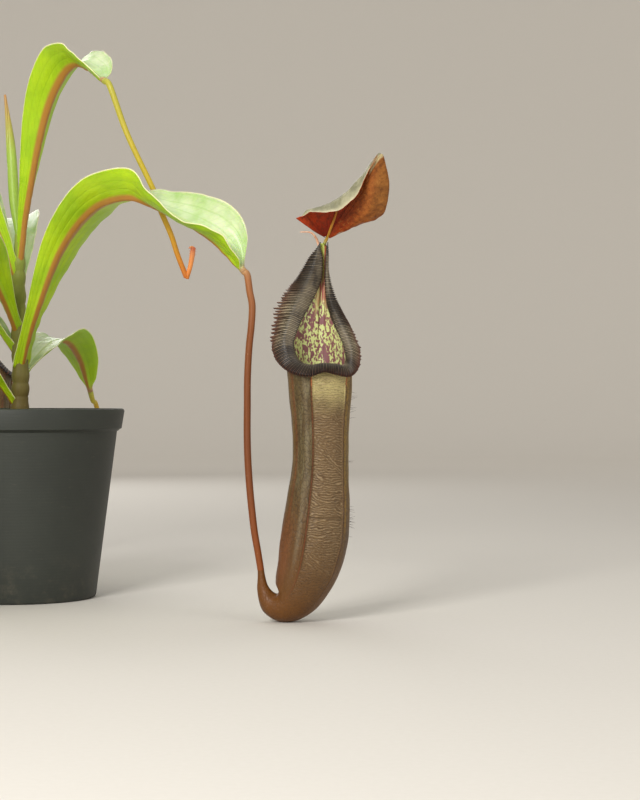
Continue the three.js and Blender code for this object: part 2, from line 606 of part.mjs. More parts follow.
// The first points of a tendril: a short straight run on from the leaf's tip
const leavingTip = ({ tip, ahead }, run = 8) =>
  [GAP, run].map((reach) => tip.clone().addScaledVector(ahead, reach).toArray());

// A tendril from a leaf's tip down to the foot of its pitcher, which stands to the side it hangs on
function hangingTendril(leaf, group, size) {
  const local = (x, z) => new THREE.Vector3(x, 0, z).applyMatrix4(group.matrixWorld);
  const high = local(-PITCHER_SIDE, 0).setZ(leaf.tip.z - 26);
  const low = local(-39, 55);
  const foot = local(CUP.axis[0][0] - 0.1, CUP.axis[0][2] + GAP / size);
  const middle = high.clone().lerp(low, 0.5).add(new THREE.Vector3(1.5, -1.5, 0));
  return [...leavingTip(leaf), ...[high, middle, low, local(-36.6, 41), foot].map((p) => p.toArray())];
}

// A pitcher's four pieces at a place on the surface, turned and scaled
function addPitcher(name, at, turn, size, facing, detail) {
  const group = new THREE.Group();
  group.position.set(...at);
  group.rotation.z = turn;
  group.scale.set(size, size * facing, size);
  plant.add(group);
  add(name + "_lip", lip(detail, Math.max(LIP.thickness, THINNEST / size)), "lip", group);
  add(name + "_cup", cup(detail), "cup", group);
  add(name + "_lid", lid(detail, Math.max(LID.thickness, THINNEST / size), GAP / size), "lid", group);
  add(name + "_spur", tube(SPUR.path, SPUR.radii, detail.sides, detail.sides), "spur", group);
  group.updateMatrixWorld(true);
  return group;
}

add("pot", pot(), "pot");
add("growing_medium", medium(), "medium");
add("stem", stem(), "stem");

const leafA = leafFromRails(LEAF_A, 24, ACROSS_FINE);
const tendrilA = [...leavingTip(leafA, 3), ...TENDRIL_A];
add("leaf_a", seated(leafA.geometry), "leaf");
add("tendril_a", tube(tendrilA, TENDRIL_A_RADII, 20, 8), "tendril");
addPitcher("pitcher_a", LARGE_PITCHER_AT, 0, 1, 1, FINE);

const leaves = {};
for (const [name, shape] of Object.entries(LEAVES)) {
  leaves[name] = leafFromRails(archedRails(shape), 11, ACROSS_COARSE);
  add(name, seated(leaves[name].geometry), "leaf");
}

for (const [letter, { leaf, size, lift, facing }] of Object.entries(PITCHERS)) {
  const { tip } = leaves[leaf];
  const turn = rad(LEAVES[leaf].aim);
  const reach = PITCHER_SIDE * size + HANG;
  const at = [tip.x + reach * Math.cos(turn), tip.y + reach * Math.sin(turn), lift];
  const group = addPitcher("pitcher_" + letter, at, turn, size, facing, COARSE);
  const path = hangingTendril(leaves[leaf], group, size);
  add("tendril_" + letter, tube(path, [BLADE.tipRadius, 1.9, 1.8, 2.0 * size + 0.1], 12, 6), "tendril");
}

// The end of a young tendril and its bud, from how far they drop, reach out and rise
function youngFrom(tip, direction, { drop, out, budRise }) {
  const turn = rad(direction);
  const outward = new THREE.Vector3(Math.cos(turn), Math.sin(turn), 0);
  const end = tip.clone().addScaledVector(outward, out).addScaledVector(UP, -drop);
  const bend = tip.clone().lerp(end, 0.35).addScaledVector(outward, 2).addScaledVector(UP, 4);
  const budPoint = (across, up) =>
    end.clone().addScaledVector(outward, across).addScaledVector(UP, up).toArray();
  return {
    tendril: [bend.toArray(), end.toArray()],
    bud: [
      budPoint(0.8, -0.4), budPoint(0.2 * budRise, 0.3 * budRise), budPoint(0.3 * budRise, 0.7 * budRise),
      budPoint(0.26 * budRise, budRise),
    ],
  };
}

for (const [letter, young] of Object.entries(YOUNG)) {
  const leaf = leaves[young.leaf];
  const { tendril, bud } = young.tendril ? young : youngFrom(leaf.tip, LEAVES[young.leaf].aim, young);
  const stalk = (extra) => tube([...leavingTip(leaf), ...tendril], YOUNG_RADII, 13, 6, extra);
  add("tendril_" + letter, stalk(0), "youngTendril");
  const budBody = solidOf(tube(bud, BUD_RADII, 5, 6));
  add("bud_" + letter, geometryOf(budBody.subtract(solidOf(stalk(GAP)))), "bud");
}

// The newest leaf, still rolled
add("spear", geometryOf(solidOf(tube(SPEAR.path, SPEAR.radii, 8, 8)).subtract(solidOf(stem(GAP)))), "spear");

export default plant;
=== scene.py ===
# Potted nepenthes hybrid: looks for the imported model.
# Shapes are worked out in millimetres in the model's frame and turned to metres in the meshes.
import math
import random

import bpy
import numpy as np
from mathutils import Matrix, Vector


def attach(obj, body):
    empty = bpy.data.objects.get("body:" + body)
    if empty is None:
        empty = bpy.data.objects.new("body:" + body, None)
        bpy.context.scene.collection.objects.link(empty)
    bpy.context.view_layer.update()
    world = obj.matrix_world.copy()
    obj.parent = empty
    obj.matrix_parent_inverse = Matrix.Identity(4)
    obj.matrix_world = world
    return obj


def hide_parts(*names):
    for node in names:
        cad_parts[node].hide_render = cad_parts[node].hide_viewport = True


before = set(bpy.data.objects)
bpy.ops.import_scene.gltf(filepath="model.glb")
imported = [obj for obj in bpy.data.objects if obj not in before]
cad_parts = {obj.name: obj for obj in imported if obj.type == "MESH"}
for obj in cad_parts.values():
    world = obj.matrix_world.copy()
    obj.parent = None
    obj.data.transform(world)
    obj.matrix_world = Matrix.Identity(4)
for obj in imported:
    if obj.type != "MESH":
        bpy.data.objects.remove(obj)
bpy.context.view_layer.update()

MM = 0.001
FULL_TURN = 2 * math.pi
chance = random.Random(20)

# Sizes: the model's own, but for a few places on the large pitcher that were measured again

RIM_RADIUS, RIM_HEIGHT, RIM_STEP = 70, 15, 3
BASE_RADIUS, POT_HEIGHT, POT_WALL, POT_FLOOR, POT_EDGE = 51, 125, 2.2, 3, 1.8
HOLES, HOLE_RADIUS, HOLE_CIRCLE = 6, 5, 34
MEDIUM_TOP = 112
STEM_PATH = [(0.5, 0.5, 66.3), (0.5, 0.5, 108), (1.5, -1, 150), (0, 0.5, 195), (1, -1, 240)]
STEM_RADII = [4.6, 5.4, 5.2, 4.6, 3.2]

# The large pitcher in its own frame: x to the right and y away from whoever faces its mouth
CUP_AXIS = [
    (-34.8, 0, 30.5), (-33.4, 0, 19.5), (-28.6, 0, 11.4), (-20.8, 0, 10.6), (-13.4, 0, 17.6),
    (-7.2, 0, 31.5), (-3.7, 0, 47), (-2, 0, 60), (-0.9, 0, 73), (0, 0, 87), (0.4, 0, 100),
    (0.3, 0, 118), (0.1, 0, 139),
]
CUP_RADII = [2.0, 3.6, 7.2, 11.2, 15.0, 18.3, 19.8, 19.4, 18.4, 16.9, 16.4, 17.0, 18.9]
CUP_WALL = 1.0
# Height of the cup's wrinkles as a share of the space between them
CUP_RELIEF = 0.17
# Height at which the one straight fold crosses the panel between the wings
FOLD_AT = 62.4
# How far the hollow's end lies beyond its last ring
HOLLOW_END = np.array([-3.2, 0, -2.2])
# The two wings in degrees round the cup, the same as turns in its marks, and how far they stand out
WINGS = [-15, 51]
WING_TURNS = [0.5417, 0.3583]
WING_HEIGHTS = [1.4, 0.9]
WING_WIDTH = 1.9
# Where the body ends and the collar begins on the way up in the cup's marks
BODY_SHARE = 0.6
# The neck behind the mouth, in degrees round the cup, and the places along the lip at its two sides
NECK = [(-0.4, 22.6, 224.6), (3.4, 22.6, 224.6)]
NECK_ANGLES = [173, 177, 183, 187]
NECK_SEATS = [0.012, 0.988]
# Degrees round the cup and the place along the lip above them, down the left side and up the right
LIP_OVER_CUP = [
    (18, 0.526), (2, 0.489), (-15, 0.4505), (-40, 0.397), (-60, 0.357), (-80, 0.314), (-102, 0.257),
    (-122, 0.205), (-140, 0.16), (-154, 0.12), (-163, 0.085), (-169, 0.05), (-173, 0.012),
    (-187, 0.988), (-191, 0.945), (-196, 0.89), (-203, 0.855), (-213, 0.823), (-228, 0.788),
    (-246, 0.757), (-264, 0.722), (-282, 0.678), (-296, 0.643), (-309, 0.612), (-329, 0.559),
    (-342, 0.526),
]
LIP_INNER = [
    (1.3, 18.6, 225), (1.0, 18.0, 213), (0.2, 17.2, 203), (-3.0, 15.4, 194.5), (-7.6, 11.6, 185.5),
    (-12.6, 6.0, 175.5), (-16.0, -1.0, 165), (-14.4, -8.2, 156.4), (-9.6, -12.8, 151),
    (-3.6, -14.6, 149.6), (2.2, -15.0, 150.4), (7.8, -14.4, 150.2), (12.6, -11.4, 149.6),
    (15.6, -6.4, 153.6), (14.6, -0.6, 162.4), (10.6, 5.6, 172), (6.9, 11.2, 181), (4.4, 14.8, 190),
    (3.5, 16.8, 202), (3.6, 18.0, 213), (3.8, 18.6, 225),
]
LIP_OUTER = [
    (-1.6, 20.4, 225), (-8.0, 19.2, 213.6), (-13.8, 17.6, 203.5), (-20.0, 15.6, 196.4),
    (-25.4, 12.6, 188), (-28.4, 8.0, 177), (-28.8, 0.6, 164.6), (-25.2, -9.6, 154.4),
    (-17.6, -19.4, 147.8), (-7.2, -24.0, 144.9), (2.2, -23.6, 147.6), (10.4, -23.0, 146.0),
    (18.0, -18.4, 145.4), (23.2, -9.0, 151.4), (23.8, 0, 160.4), (19.6, 6.4, 171.4),
    (14.8, 11.4, 180.4), (10.2, 15.2, 190), (6.4, 18.2, 202), (4.6, 19.6, 213), (5.8, 20.4, 225),
]
# Where the cup's edge meets the lip, as a share of the lip's width
LIP_SEAT = 0.4
LIP_STEPS = 17
RIB_HEIGHT = 0.5
# How far the fringe stands out between the ribs, at places along the lip, in millimetres
LIP_FRINGE = [
    (0, 0.3), (0.09, 0.8), (0.13, 3), (0.17, 7), (0.23, 9), (0.27, 7.5), (0.31, 3), (0.36, 1.4),
    (0.5, 1), (0.62, 1.6), (0.67, 4.2), (0.73, 4), (0.78, 2), (0.85, 0.8), (1, 0.3),
]
LID_BASE = (4.0, 19.2, 227.2)
LID_FOLDS = [
    (-6.2, 10.2, 232.6), (-8.8, 5.6, 240.2), (-4.2, 3.6, 242.6), (2.1, 2.8, 244.7), (7.6, 1.4, 247.2),
    (14.6, -1.4, 251.8), (20.2, -5.0, 257.0), (25.3, -9.0, 262.6), (29.2, -13.2, 267.6),
    (32.6, -17.0, 270.6), (32.2, -12.6, 262.0), (31.6, -7.4, 252.0), (28.6, 0.4, 241.4),
    (24.2, 6.4, 236.2), (16.6, 12.0, 232.6), (9.6, 16.4, 229.6),
]
LID_MARGINS = [
    (-14.1, 4.2, 238.0), (-9.9, 3.4, 239.2), (-5.4, 0.2, 241.2), (0.2, -1.8, 240.7), (5.4, -3.2, 240.6),
    (11.6, -5.2, 242.2), (18.0, -8.2, 246.6), (23.6, -11.6, 253.0), (27.6, -14.8, 262.2),
    (35.1, -19.6, 272.6), (38.0, -15.4, 267.8), (40.5, -7.2, 255.2), (38.3, 2.4, 242.2),
    (33.2, 7.0, 237.4), (21.8, 12.2, 234.4), (12.6, 16.2, 230.6),
]
LID_KEEL = [
    (2.5, 19.7, 224.0), (4.0, 19.2, 227.2), (6.2, 14.2, 232.4), (8.6, 9.4, 238.4), (10.6, 4.4, 244.2),
]
KEEL_RADII = [1.0, 1.0, 0.85, 0.75, 0.5]
# Where the lid turns over, as a share of the way out from its base
LID_FOLD_AT = 0.74
SPUR = [(-0.2, 23.8, 221.5), (-2.2, 24.5, 227.6), (-5.6, 25.7, 231.4), (-11.9, 27.5, 231.9)]
SPUR_RADII = [0.8, 0.75, 0.62, 0.42, 0.3]
NECK_TOP = 225.5

# Midrib, far margin and near margin of the leaf of the large pitcher
LEAF_A = (
    [
        (1, -1, 150), (12, -16, 182), (33, -44, 225), (58, -77, 249), (83.5, -110, 253.3),
        (98.5, -118, 248.6), (113, -126, 241.1), (127.5, -133, 232.6), (139.2, -138, 223.7),
        (148, -140, 214.8), (155.3, -140, 206.2),
    ],
    [
        (6, 3, 153), (18, -12, 186), (46, -34, 230), (71, -58, 252), (84, -86, 257),
        (97.4, -98, 258.4), (113.5, -109, 256.8), (132.3, -122, 252.9), (148.1, -134, 245.2),
        (156.6, -139.4, 231.5), (157.4, -139.8, 208.6),
    ],
    [
        (-3, -6, 153), (7, -19, 186), (25, -53, 236), (52, -94, 264.5), (85, -126, 268.8),
        (99.5, -141, 252.6), (115, -150, 238.2), (130.4, -155.5, 231.6), (142.4, -156, 226.6),
        (150.6, -149.5, 216.2), (156.2, -141.6, 207.4),
    ],
)
TENDRIL_A = [
    (158.6, -140, 194.6), (160.1, -140, 186), (159.6, -140, 174.3), (158.2, -139.6, 160.6),
    (157.3, -139, 143.1), (157.2, -138.6, 127.5), (157.1, -138.4, 111.8), (157.5, -138.6, 96.2),
    (158.5, -139, 80.6), (159.8, -139.4, 66.9), (161.4, -139.8, 53.3), (163.6, -140, 40.5),
    (165.2, -140, 30.5),
]
# Aim in degrees, heights of foot, crown and tip, reach, half width, fold, and the waves of the margin
LEAVES = {
    "b": (-53, 222, 342, 327, 112, 19, 34, 1.2, 2),
    "c": (104, 189, 262, 214, 196, 25, 20, 2.2, 3),
    "d": (174, 163, 244, 204, 206, 27, 22, 2.4, 3),
    "e": (250, 176, 246, 190, 192, 25, 20, 2.2, 3),
    "f": (72, 141, 173, 137, 112, 17, 16, 1.6, 2),
    "g": (139, 201, 304, 268, 160, 23, 26, 1.8, 2),
    "h": (207, 213, 322, 300, 132, 21, 28, 1.6, 2),
    "i": (207, 128, 184, 140, 150, 21, 14, 2.2, 3),
}
LEAF_FEET = [150] + [shape[1] for shape in LEAVES.values()]
# Shares of the half width, and of the wave, from a leaf's foot to its tip
LEAF_SHAPE = [0.22, 0.2, 0.34, 0.66, 0.9, 1, 0.98, 0.84, 0.56, 0.14]
WAVE_SHAPE = [0, 0.3, 1, 1, 0.4, 0]
# Pitchers on the arching leaves: size, height of the base, and which way the mouth faces
HUNG_PITCHERS = {"c": (0.78, 34, 1), "d": (0.93, 0, -1), "e": (0.56, 58, 1)}
# Distances from the pitcher's axis to its tendril, and from there to the leaf's tip
PITCHER_SIDE = 43
HANG = 9
YOUNG_B = [
    (79.5, -94.4, 299.6), (86, -94.6, 284.3), (98.3, -94.2, 258.5), (102.2, -93.6, 247),
    (108.6, -92.8, 232), (112.4, -92, 220.2), (117.8, -91.4, 206.2),
]
BUD_B = [(118.2, -91.4, 205.4), (120.2, -91.6, 212.2), (121.4, -91.9, 218.6), (122.2, -92.2, 224)]
BUD_RADII = [1.35, 1.4, 1.5, 1.65, 1.5]
# Drop and reach of a young tendril below its leaf's tip, and the rise of its bud
YOUNG = {"g": (104, 34, 26), "h": (84, 26, 17), "f": (46, 26, 12), "i": (62, 30, 15)}
SPEAR = [(-0.3, 0.7, 240.5), (-3.5, 4, 264), (-6, 6, 300), (-10, 7, 334)]
# Length, width and thickness of the bark flakes
BARK_SIZES = [(9, 5.5, 2), (7, 6, 2.6), (11, 4.5, 2.2), (5.5, 4.5, 1.8)]


# Curves and fields

def through(rows, before, after, t):
    """Places at t, from 0 to 1, on the smooth curve through rows, given a row before and one after."""
    last = len(rows) - 1
    at = np.clip(np.asarray(t, float), 0, 1) * last
    i = np.minimum(at.astype(int), last - 1)
    f = (at - i).reshape(at.shape + (1,) * (rows.ndim - 1))
    p = np.concatenate([before, rows, after])
    a, b, c, d = p[i], p[i + 1], p[i + 2], p[i + 3]
    return b + 0.5 * f * (c - a + f * (2 * a - 5 * b + 4 * c - d + f * (3 * (b - c) + d - a)))


def spline(points, t):
    """Places at t, from 0 to 1, on a smooth curve through points."""
    p = np.asarray(points, float)
    return through(p, 2 * p[:1] - p[1:2], 2 * p[-1:] - p[-2:-1], t)


def values(numbers, t):
    """A smooth number at t from numbers spread evenly over 0 to 1."""
    n = np.asarray(numbers, float)
    return through(n, n[:1], n[-1:], t)


def centre_of(rings):
    return rings.mean(axis=1, keepdims=True)


def unit(v):
    return v / np.maximum(np.linalg.norm(v, axis=-1, keepdims=True), 1e-9)


def heading(points, t):
    """Directions of a smooth curve at t."""
    step = 1e-4
    return unit(spline(points, np.clip(t + step, 0, 1)) - spline(points, np.clip(t - step, 0, 1)))


def smooth(x, low, high):
    s = np.clip((x - low) / (high - low), 0, 1)
    return s * s * (3 - 2 * s)


def bell(off, width):
    return np.exp(-((off / width) ** 2))


def uneven(points, size, seed=0):
    """A soft irregular field between about -1 and 1 with features of a given size in millimetres."""
    rng = np.random.default_rng(seed)
    total = np.zeros(points.shape[:-1])
    for _ in range(9):
        wave = unit(rng.normal(size=3)) * rng.uniform(0.7, 1.5) * FULL_TURN / size
        total += np.sin(points @ wave + rng.uniform(0, FULL_TURN))
    return total / 4


def outward(aim):
    """A level direction, from its degrees."""
    turn = math.radians(aim)
    return np.array([math.cos(turn), math.sin(turn), 0])


# Meshes

def pick(*pieces):
    """Selects some pieces and nothing else, the first of them active."""
    bpy.ops.object.select_all(action="DESELECT")
    for piece in pieces:
        piece.select_set(True)
        bpy.context.view_layer.objects.active = pieces[0]


def added(primitive, **sizes):
    """The object that a primitive's operator adds, with nothing else selected."""
    pick()
    primitive(**sizes)
    return bpy.context.object


def edit_all():
    """Goes into edit mode with the whole mesh selected."""
    bpy.ops.object.mode_set(mode="EDIT")
    bpy.ops.mesh.select_all(action="SELECT")


def end_edit():
    """Turns all faces outwards and leaves edit mode."""
    bpy.ops.mesh.select_all(action="SELECT")
    bpy.ops.mesh.normals_make_consistent(inside=False)
    bpy.ops.object.mode_set(mode="OBJECT")


def marked(first, second):
    return np.stack(np.broadcast_arrays(first, second), axis=-1)


def skin(name, rings, marks, finishes, finish_of=0, relief=None):
    """A closed skin over rings of points: a grid wrapped round the rings, sewn where it meets itself.

    marks gives two numbers for every point, kept as the piece's UV map. Ends whose points pair up
    or meet are closed by the sewing. finish_of gives the finish of each face, row by row, and
    relief a number for every point that the finish can read."""
    rows, columns = rings.shape[:2]
    obj = added(bpy.ops.mesh.primitive_grid_add, x_subdivisions=columns - 1, y_subdivisions=rows - 1)
    obj.name = name
    mesh = obj.data
    mesh.vertices.foreach_set("co", (rings * MM).ravel())
    corners = np.empty(len(mesh.loops), int)
    mesh.loops.foreach_get("vertex_index", corners)
    mesh.uv_layers[0].data.foreach_set("uv", marks.reshape(-1, 2)[corners].ravel())
    if relief is not None:
        raised = mesh.attributes.new("relief", "FLOAT", "POINT")
        raised.data.foreach_set("value", relief.astype(np.float32).ravel())
    for finish in finishes:
        mesh.materials.append(finish.material)
    chosen = np.broadcast_to(finish_of, (rows - 1, columns - 1)).astype(int)
    mesh.polygons.foreach_set("material_index", chosen.ravel())
    mesh.update()
    edit_all()
    bpy.ops.mesh.remove_doubles(threshold=2e-6)
    end_edit()
    bpy.ops.object.shade_smooth()
    return obj


def with_ends(rings):
    """Rings with one more at either end, drawn together to a point."""
    first, last = (np.broadcast_to(centre_of(ring), ring.shape) for ring in (rings[:1], rings[-1:]))
    return np.concatenate([first, rings, last])


def both_sides(top, under):
    """Rows that run along one side of a sheet, back along the other and round to their start."""
    return np.concatenate([top, under[..., ::-1, :], top[..., :1, :]], axis=-2)


def round_ring(count):
    return np.linspace(0, FULL_TURN, count + 1)


def rod(name, points, radii, steps, sides, finish, swell=lambda t, turn: 0 * turn):
    """A round rod along points, with rounded ends. Its marks are the turn round it and the way along."""
    t = np.linspace(0, 1, steps + 1)
    centres = spline(points, t)
    ahead = heading(points, t)
    side = [np.cross((0.0, 1.0, 0.0), ahead[0])]
    for direction in ahead:
        level = side[-1] - direction * (side[-1] @ direction)
        side.append(level / np.linalg.norm(level))
    side = np.array(side[1:])
    across = np.cross(ahead, side)
    turn = round_ring(sides)
    radius = values(radii, t)[:, None] + swell(t[:, None], turn)
    ring = side[:, None] * np.cos(turn)[:, None] + across[:, None] * np.sin(turn)[:, None]
    body = centres[:, None] + ring * radius[..., None]

    def end(row, out, shrink, push):
        centre = centres[row] + ahead[row] * out * push * radius[row].mean()
        return centre + ring[row] * (radius[row] * shrink)[:, None]

    start = [end(0, -1, 0.0, 0.4), end(0, -1, 0.8, 0.25)]
    rings = np.array([*start, *body, end(-1, 1, 0.8, 0.25), end(-1, 1, 0.0, 0.4)])
    way = np.concatenate([[0, 0], t, [1, 1]])
    return skin(name, rings, marked(turn / FULL_TURN, way[:, None]), [finish])


def turned(name, profile, sides):
    """A round shape about the upright axis, pulled out ring by ring from a circle."""
    (radius, height), *rest = profile
    obj = added(bpy.ops.mesh.primitive_circle_add, vertices=sides, radius=radius * MM,
                location=(0, 0, height * MM))
    obj.name = name
    bpy.ops.object.transform_apply(location=True)
    edit_all()
    for next_radius, next_height in rest:
        rise = (0, 0, (next_height - height) * MM)
        bpy.ops.mesh.extrude_region_move(TRANSFORM_OT_translate={"value": rise})
        ratio = next_radius / radius
        bpy.ops.transform.resize(value=(ratio, ratio, 1), center_override=(0, 0, next_height * MM))
        radius, height = next_radius, next_height
    bpy.ops.mesh.select_all(action="SELECT")
    bpy.ops.mesh.fill_holes(sides=0)
    end_edit()
    return obj


def joined(name, parts):
    pick(*parts)
    bpy.ops.object.join()
    parts[0].name = name
    return parts[0]


def scattered(name, model, places):
    """Copies of a small piece at places, joined into one piece. The model itself is used up."""
    copies = []
    for place in places:
        copy = model.copy()
        copy.data = model.data.copy()
        copy.data.transform(place)
        bpy.context.collection.objects.link(copy)
        copies.insert(0, copy)
    bpy.data.objects.remove(model)
    return joined(name, copies)


def settle(piece, slot, *nodes):
    """Makes a piece part of the model, in place of the nodes it stands for."""
    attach(piece, "root")
    if nodes:
        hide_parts(*nodes)


# Finishes

def paint(code):
    """A colour from the six digits it has on a screen."""
    parts = [int(code[i:i + 2], 16) / 255 for i in (0, 2, 4)]
    return (*[((c + 0.055) / 1.055) ** 2.4 if c > 0.04045 else c / 12.92 for c in parts], 1)


def maths(operation, reflected=False):
    """A method that puts a value, and any others it is given, through a Math node."""
    def method(value, *others):
        given = (*others, value) if reflected else (value, *others)
        return value.finish.node("Math", {"operation": operation}, dict(enumerate(given)))

    return method


class Value:
    """What changes over a surface: a number, or coordinates. Sums and products add Math nodes."""

    __add__ = __radd__ = maths("ADD")
    __sub__ = maths("SUBTRACT")
    __rsub__ = maths("SUBTRACT", reflected=True)
    __mul__ = __rmul__ = maths("MULTIPLY")
    __truediv__ = maths("DIVIDE")
    __pow__ = maths("POWER")
    __abs__ = maths("ABSOLUTE")
    most = maths("MAXIMUM")
    wave = maths("SINE")

    def __init__(self, finish, socket):
        self.finish = finish
        self.socket = socket

    def rises(self, low, high):
        """0 below low, 1 above high, smooth between. Falls where low is the larger."""
        ends = {"Value": self, "From Min": min(low, high), "From Max": max(low, high)}
        step = self.finish.node("MapRange", {"interpolation_type": "SMOOTHSTEP"}, ends)
        return step if low < high else 1 - step

    def near(self, middle, width):
        """1 at middle, falling to 0 at width from it."""
        return abs(self - middle).rises(width, 0)

    def noise(self, scale, detail=3, roughness=0.5):
        sockets = {"Vector": self, "Scale": scale, "Detail": detail, "Roughness": roughness}
        return self.finish.node("TexNoise", {}, sockets)

    def cells(self, scale, feature="F1"):
        return self.finish.node("TexVoronoi", {"feature": feature}, {"Vector": self, "Scale": scale})

    def vector(self, operation, sockets, output=0):
        return self.finish.node("VectorMath", {"operation": operation}, {0: self, **sockets}, output)

    def bent(self, scale, amount):
        """Coordinates pushed about by a noise, in their own units."""
        push = self.finish.node("TexNoise", {}, {"Vector": self, "Scale": scale, "Detail": 2}, 1)
        centred = push.vector("SUBTRACT", {1: (0.5, 0.5, 0.5)})
        return self.vector("ADD", {1: centred.vector("SCALE", {"Scale": amount})})

    def part(self, axis):
        """One number of three, 2 for the height."""
        return self.finish.node("SeparateXYZ", {}, {0: self}, axis)


class Finish:
    """A material, the nodes of its surface, and the colour that they come to so far."""

    def __init__(self, name, specular, constants=None):
        self.material = bpy.data.materials.new(name)
        self.material.use_nodes = True
        self.tree = self.material.node_tree
        self.shader = self.tree.nodes["Principled BSDF"]
        self.drive({"Specular IOR Level": specular, **(constants or {})})

    def node(self, kind, settings, sockets, output=0):
        node = self.tree.nodes.new("ShaderNode" + kind)
        for setting, value in settings.items():
            if setting == "stops":
                self.set_stops(node.color_ramp, value)
            else:
                setattr(node, setting, value)
        for socket, value in sockets.items():
            self.put(node.inputs[socket], value)
        return Value(self, node.outputs[output])

    def set_stops(self, ramp, stops):
        while len(ramp.elements) < len(stops):
            ramp.elements.new(0.5)
        for element, (position, code) in zip(ramp.elements, stops):
            element.position = position
            element.color = paint(code)

    def put(self, socket, value):
        if isinstance(value, Value):
            self.tree.links.new(value.socket, socket)
        else:
            socket.default_value = value

    def drive(self, sockets):
        """Gives the shader's sockets numbers, colours or what changes over the surface."""
        for socket, value in sockets.items():
            self.put(self.shader.inputs[socket], value)

    def marks(self):
        """The two numbers that a piece's UV map holds."""
        both = self.node("UVMap", {}, {})
        return both.part(0), both.part(1)

    def relief(self):
        """The number that a piece's points hold for its relief."""
        return self.node("Attribute", {"attribute_name": "relief"}, {}, 2)

    def place(self, stretch=(1, 1, 1)):
        """Object coordinates, in millimetres before stretching."""
        where = self.node("TexCoord", {}, {}, "Object")
        return self.node("Mapping", {}, {"Vector": where, "Scale": tuple(1000 * s for s in stretch)})

    def blend(self, mask, low, high):
        """One colour where mask is 0 and another where it is 1. A code stands for its colour."""
        low, high = (paint(colour) if isinstance(colour, str) else colour for colour in (low, high))
        return self.node("Mix", {"data_type": "RGBA"}, {0: mask, 6: low, 7: high}, 2)

    def ground(self, mask, low, high):
        self.colour = self.blend(mask, low, high)

    def coats(self, *layers):
        """Lays colours over the one so far, each where its mask is 1."""
        for mask, colour in layers:
            self.ground(mask, self.colour, colour)

    def shade(self, factor):
        """Makes the colour so far darker or lighter by a number."""
        grey = self.node("CombineXYZ", {}, {0: factor, 1: factor, 2: factor})
        self.colour = self.colour.vector("MULTIPLY", {1: grey})

    def done(self, roughness, height, depth):
        """Drives the shader, with a relief of a height from 0 to 1 and a depth in millimetres."""
        normal = self.node("Bump", {}, {"Height": height, "Distance": depth * MM, "Strength": 1})
        self.drive({"Base Color": self.colour, "Roughness": roughness, "Normal": normal})
        return self


def cup_outside_finish():
    """Brown, with an olive wrinkled panel between the wings, and redder and smoother lower down.
    The wrinkles carry painted highlights on their tops and painted shade in their creases.
    """
    finish = Finish("cup_outside", 0.35)
    turn, way = finish.marks()
    where = finish.place()
    ridge = finish.relief()
    fine = where.noise(0.5, 4, 0.65)
    streak = finish.place((1, 1, 0.1)).bent(0.2, 0.8).noise(0.5, 3, 0.6)
    wings = turn.near(WING_TURNS[0], 0.006).most(turn.near(WING_TURNS[1], 0.006)) * way.rises(0.12, 0.3)
    panel = turn.rises(0.358, 0.362) * turn.rises(0.542, 0.538)
    left = turn.rises(0.538, 0.543)
    right = turn.rises(0.362, 0.357)
    high = way.rises(0.3, 0.5)
    red_side = turn.near(0.662, 0.022) * way.rises(0.3, 0.4) + turn.rises(0.59, 0.65) * way.rises(0.4, 0.3)
    ochre = turn.near(0.337, 0.02) * way.rises(0.24, 0.4) * (0.35 + 0.65 * streak.rises(0.4, 0.6))
    knots = wings * (way * 980).wave().rises(0.3, 0.9) * way.rises(0.3, 0.4)
    # pale: a painted highlight on the tops of the wrinkles in the panel
    pale = ridge.rises(0.72, 0.98) * panel * way.rises(0.16, 0.3)
    # crease: 1 in the wrinkles' creases, where the colour is darkened as painted shade and the surface is
    # rougher
    crease = ridge.rises(0.32, 0.08)
    # threads finer than the modelled wrinkles, a net outside the wings, and the one straight fold
    threads = (where.bent(0.3, 5).part(2) * 4.2).wave().rises(0.45, 1.0) * panel * way.rises(0.1, 0.25)
    net = finish.place((1.3, 1, 0.8)).bent(0.3, 2.4).cells(0.42, "DISTANCE_TO_EDGE").rises(0.13, 0.0)
    beside = left.most(right) * turn.rises(0.72, 0.66) * way.rises(0.2, 0.36)
    fold = way.near(0.359, 0.002) * panel
    finish.ground(way.rises(0.04, 0.34), "6b4012", "604424")
    finish.coats(
        (panel * way.rises(0.16, 0.36), "6c5436"),
        (panel * way.rises(0.55, 0.603), "b2a46e"),
        (left * high, "5c4d2f"),
        (left * high * streak.rises(0.48, 0.6) * 0.75, "6e6549"),
        # a grey band down the left side, a painted sheen
        (turn.near(0.58, 0.02) * way.rises(0.2, 0.32) * 0.5, "84765c"),
        (red_side * way.rises(0.12, 0.25) * 0.75, "784a2a"),
        (turn.near(0.692, 0.028) * high * 0.6, "7c5629"),
        (turn.rises(0.7, 0.76) * 0.8, "4c3015"),
        (right * high, "80672f"),
        (ochre, "987430"),
        (turn.near(0.308, 0.012) * high * 0.7, "5c3a12"),
        (turn.rises(0.26, 0.19) * 0.8, "4c3015"),
        (where.noise(0.06, 4, 0.6).rises(0.5, 0.75) * 0.45, "4a3117"),
        (wings * 0.9, finish.blend(turn.rises(0.44, 0.46), "3c2210", "723c1e")),
        (knots * 0.6, "35170c"),
        (wings * way.rises(0.59, 0.615), "b0683a"),
        # painted highlight on the wrinkles' tops
        (pale * 0.42, "b09a76"),
        (net * beside * 0.5, "2c1d10"),
    )
    # painted shade: the colour is darkened in the creases, in the fine threads and along the fold
    lines = (0.5 * crease).most(0.34 * threads).most(0.4 * fold)
    finish.shade((0.66 + 0.36 * fine + 0.36 * streak) * (1 - lines))
    relief = 0.5 * fine + 0.5 * ridge + 0.35 * streak - 0.45 * net - 0.35 * threads - 0.4 * fold
    return finish.done(0.36 + 0.2 * fine + 0.1 * crease, relief, 0.22)


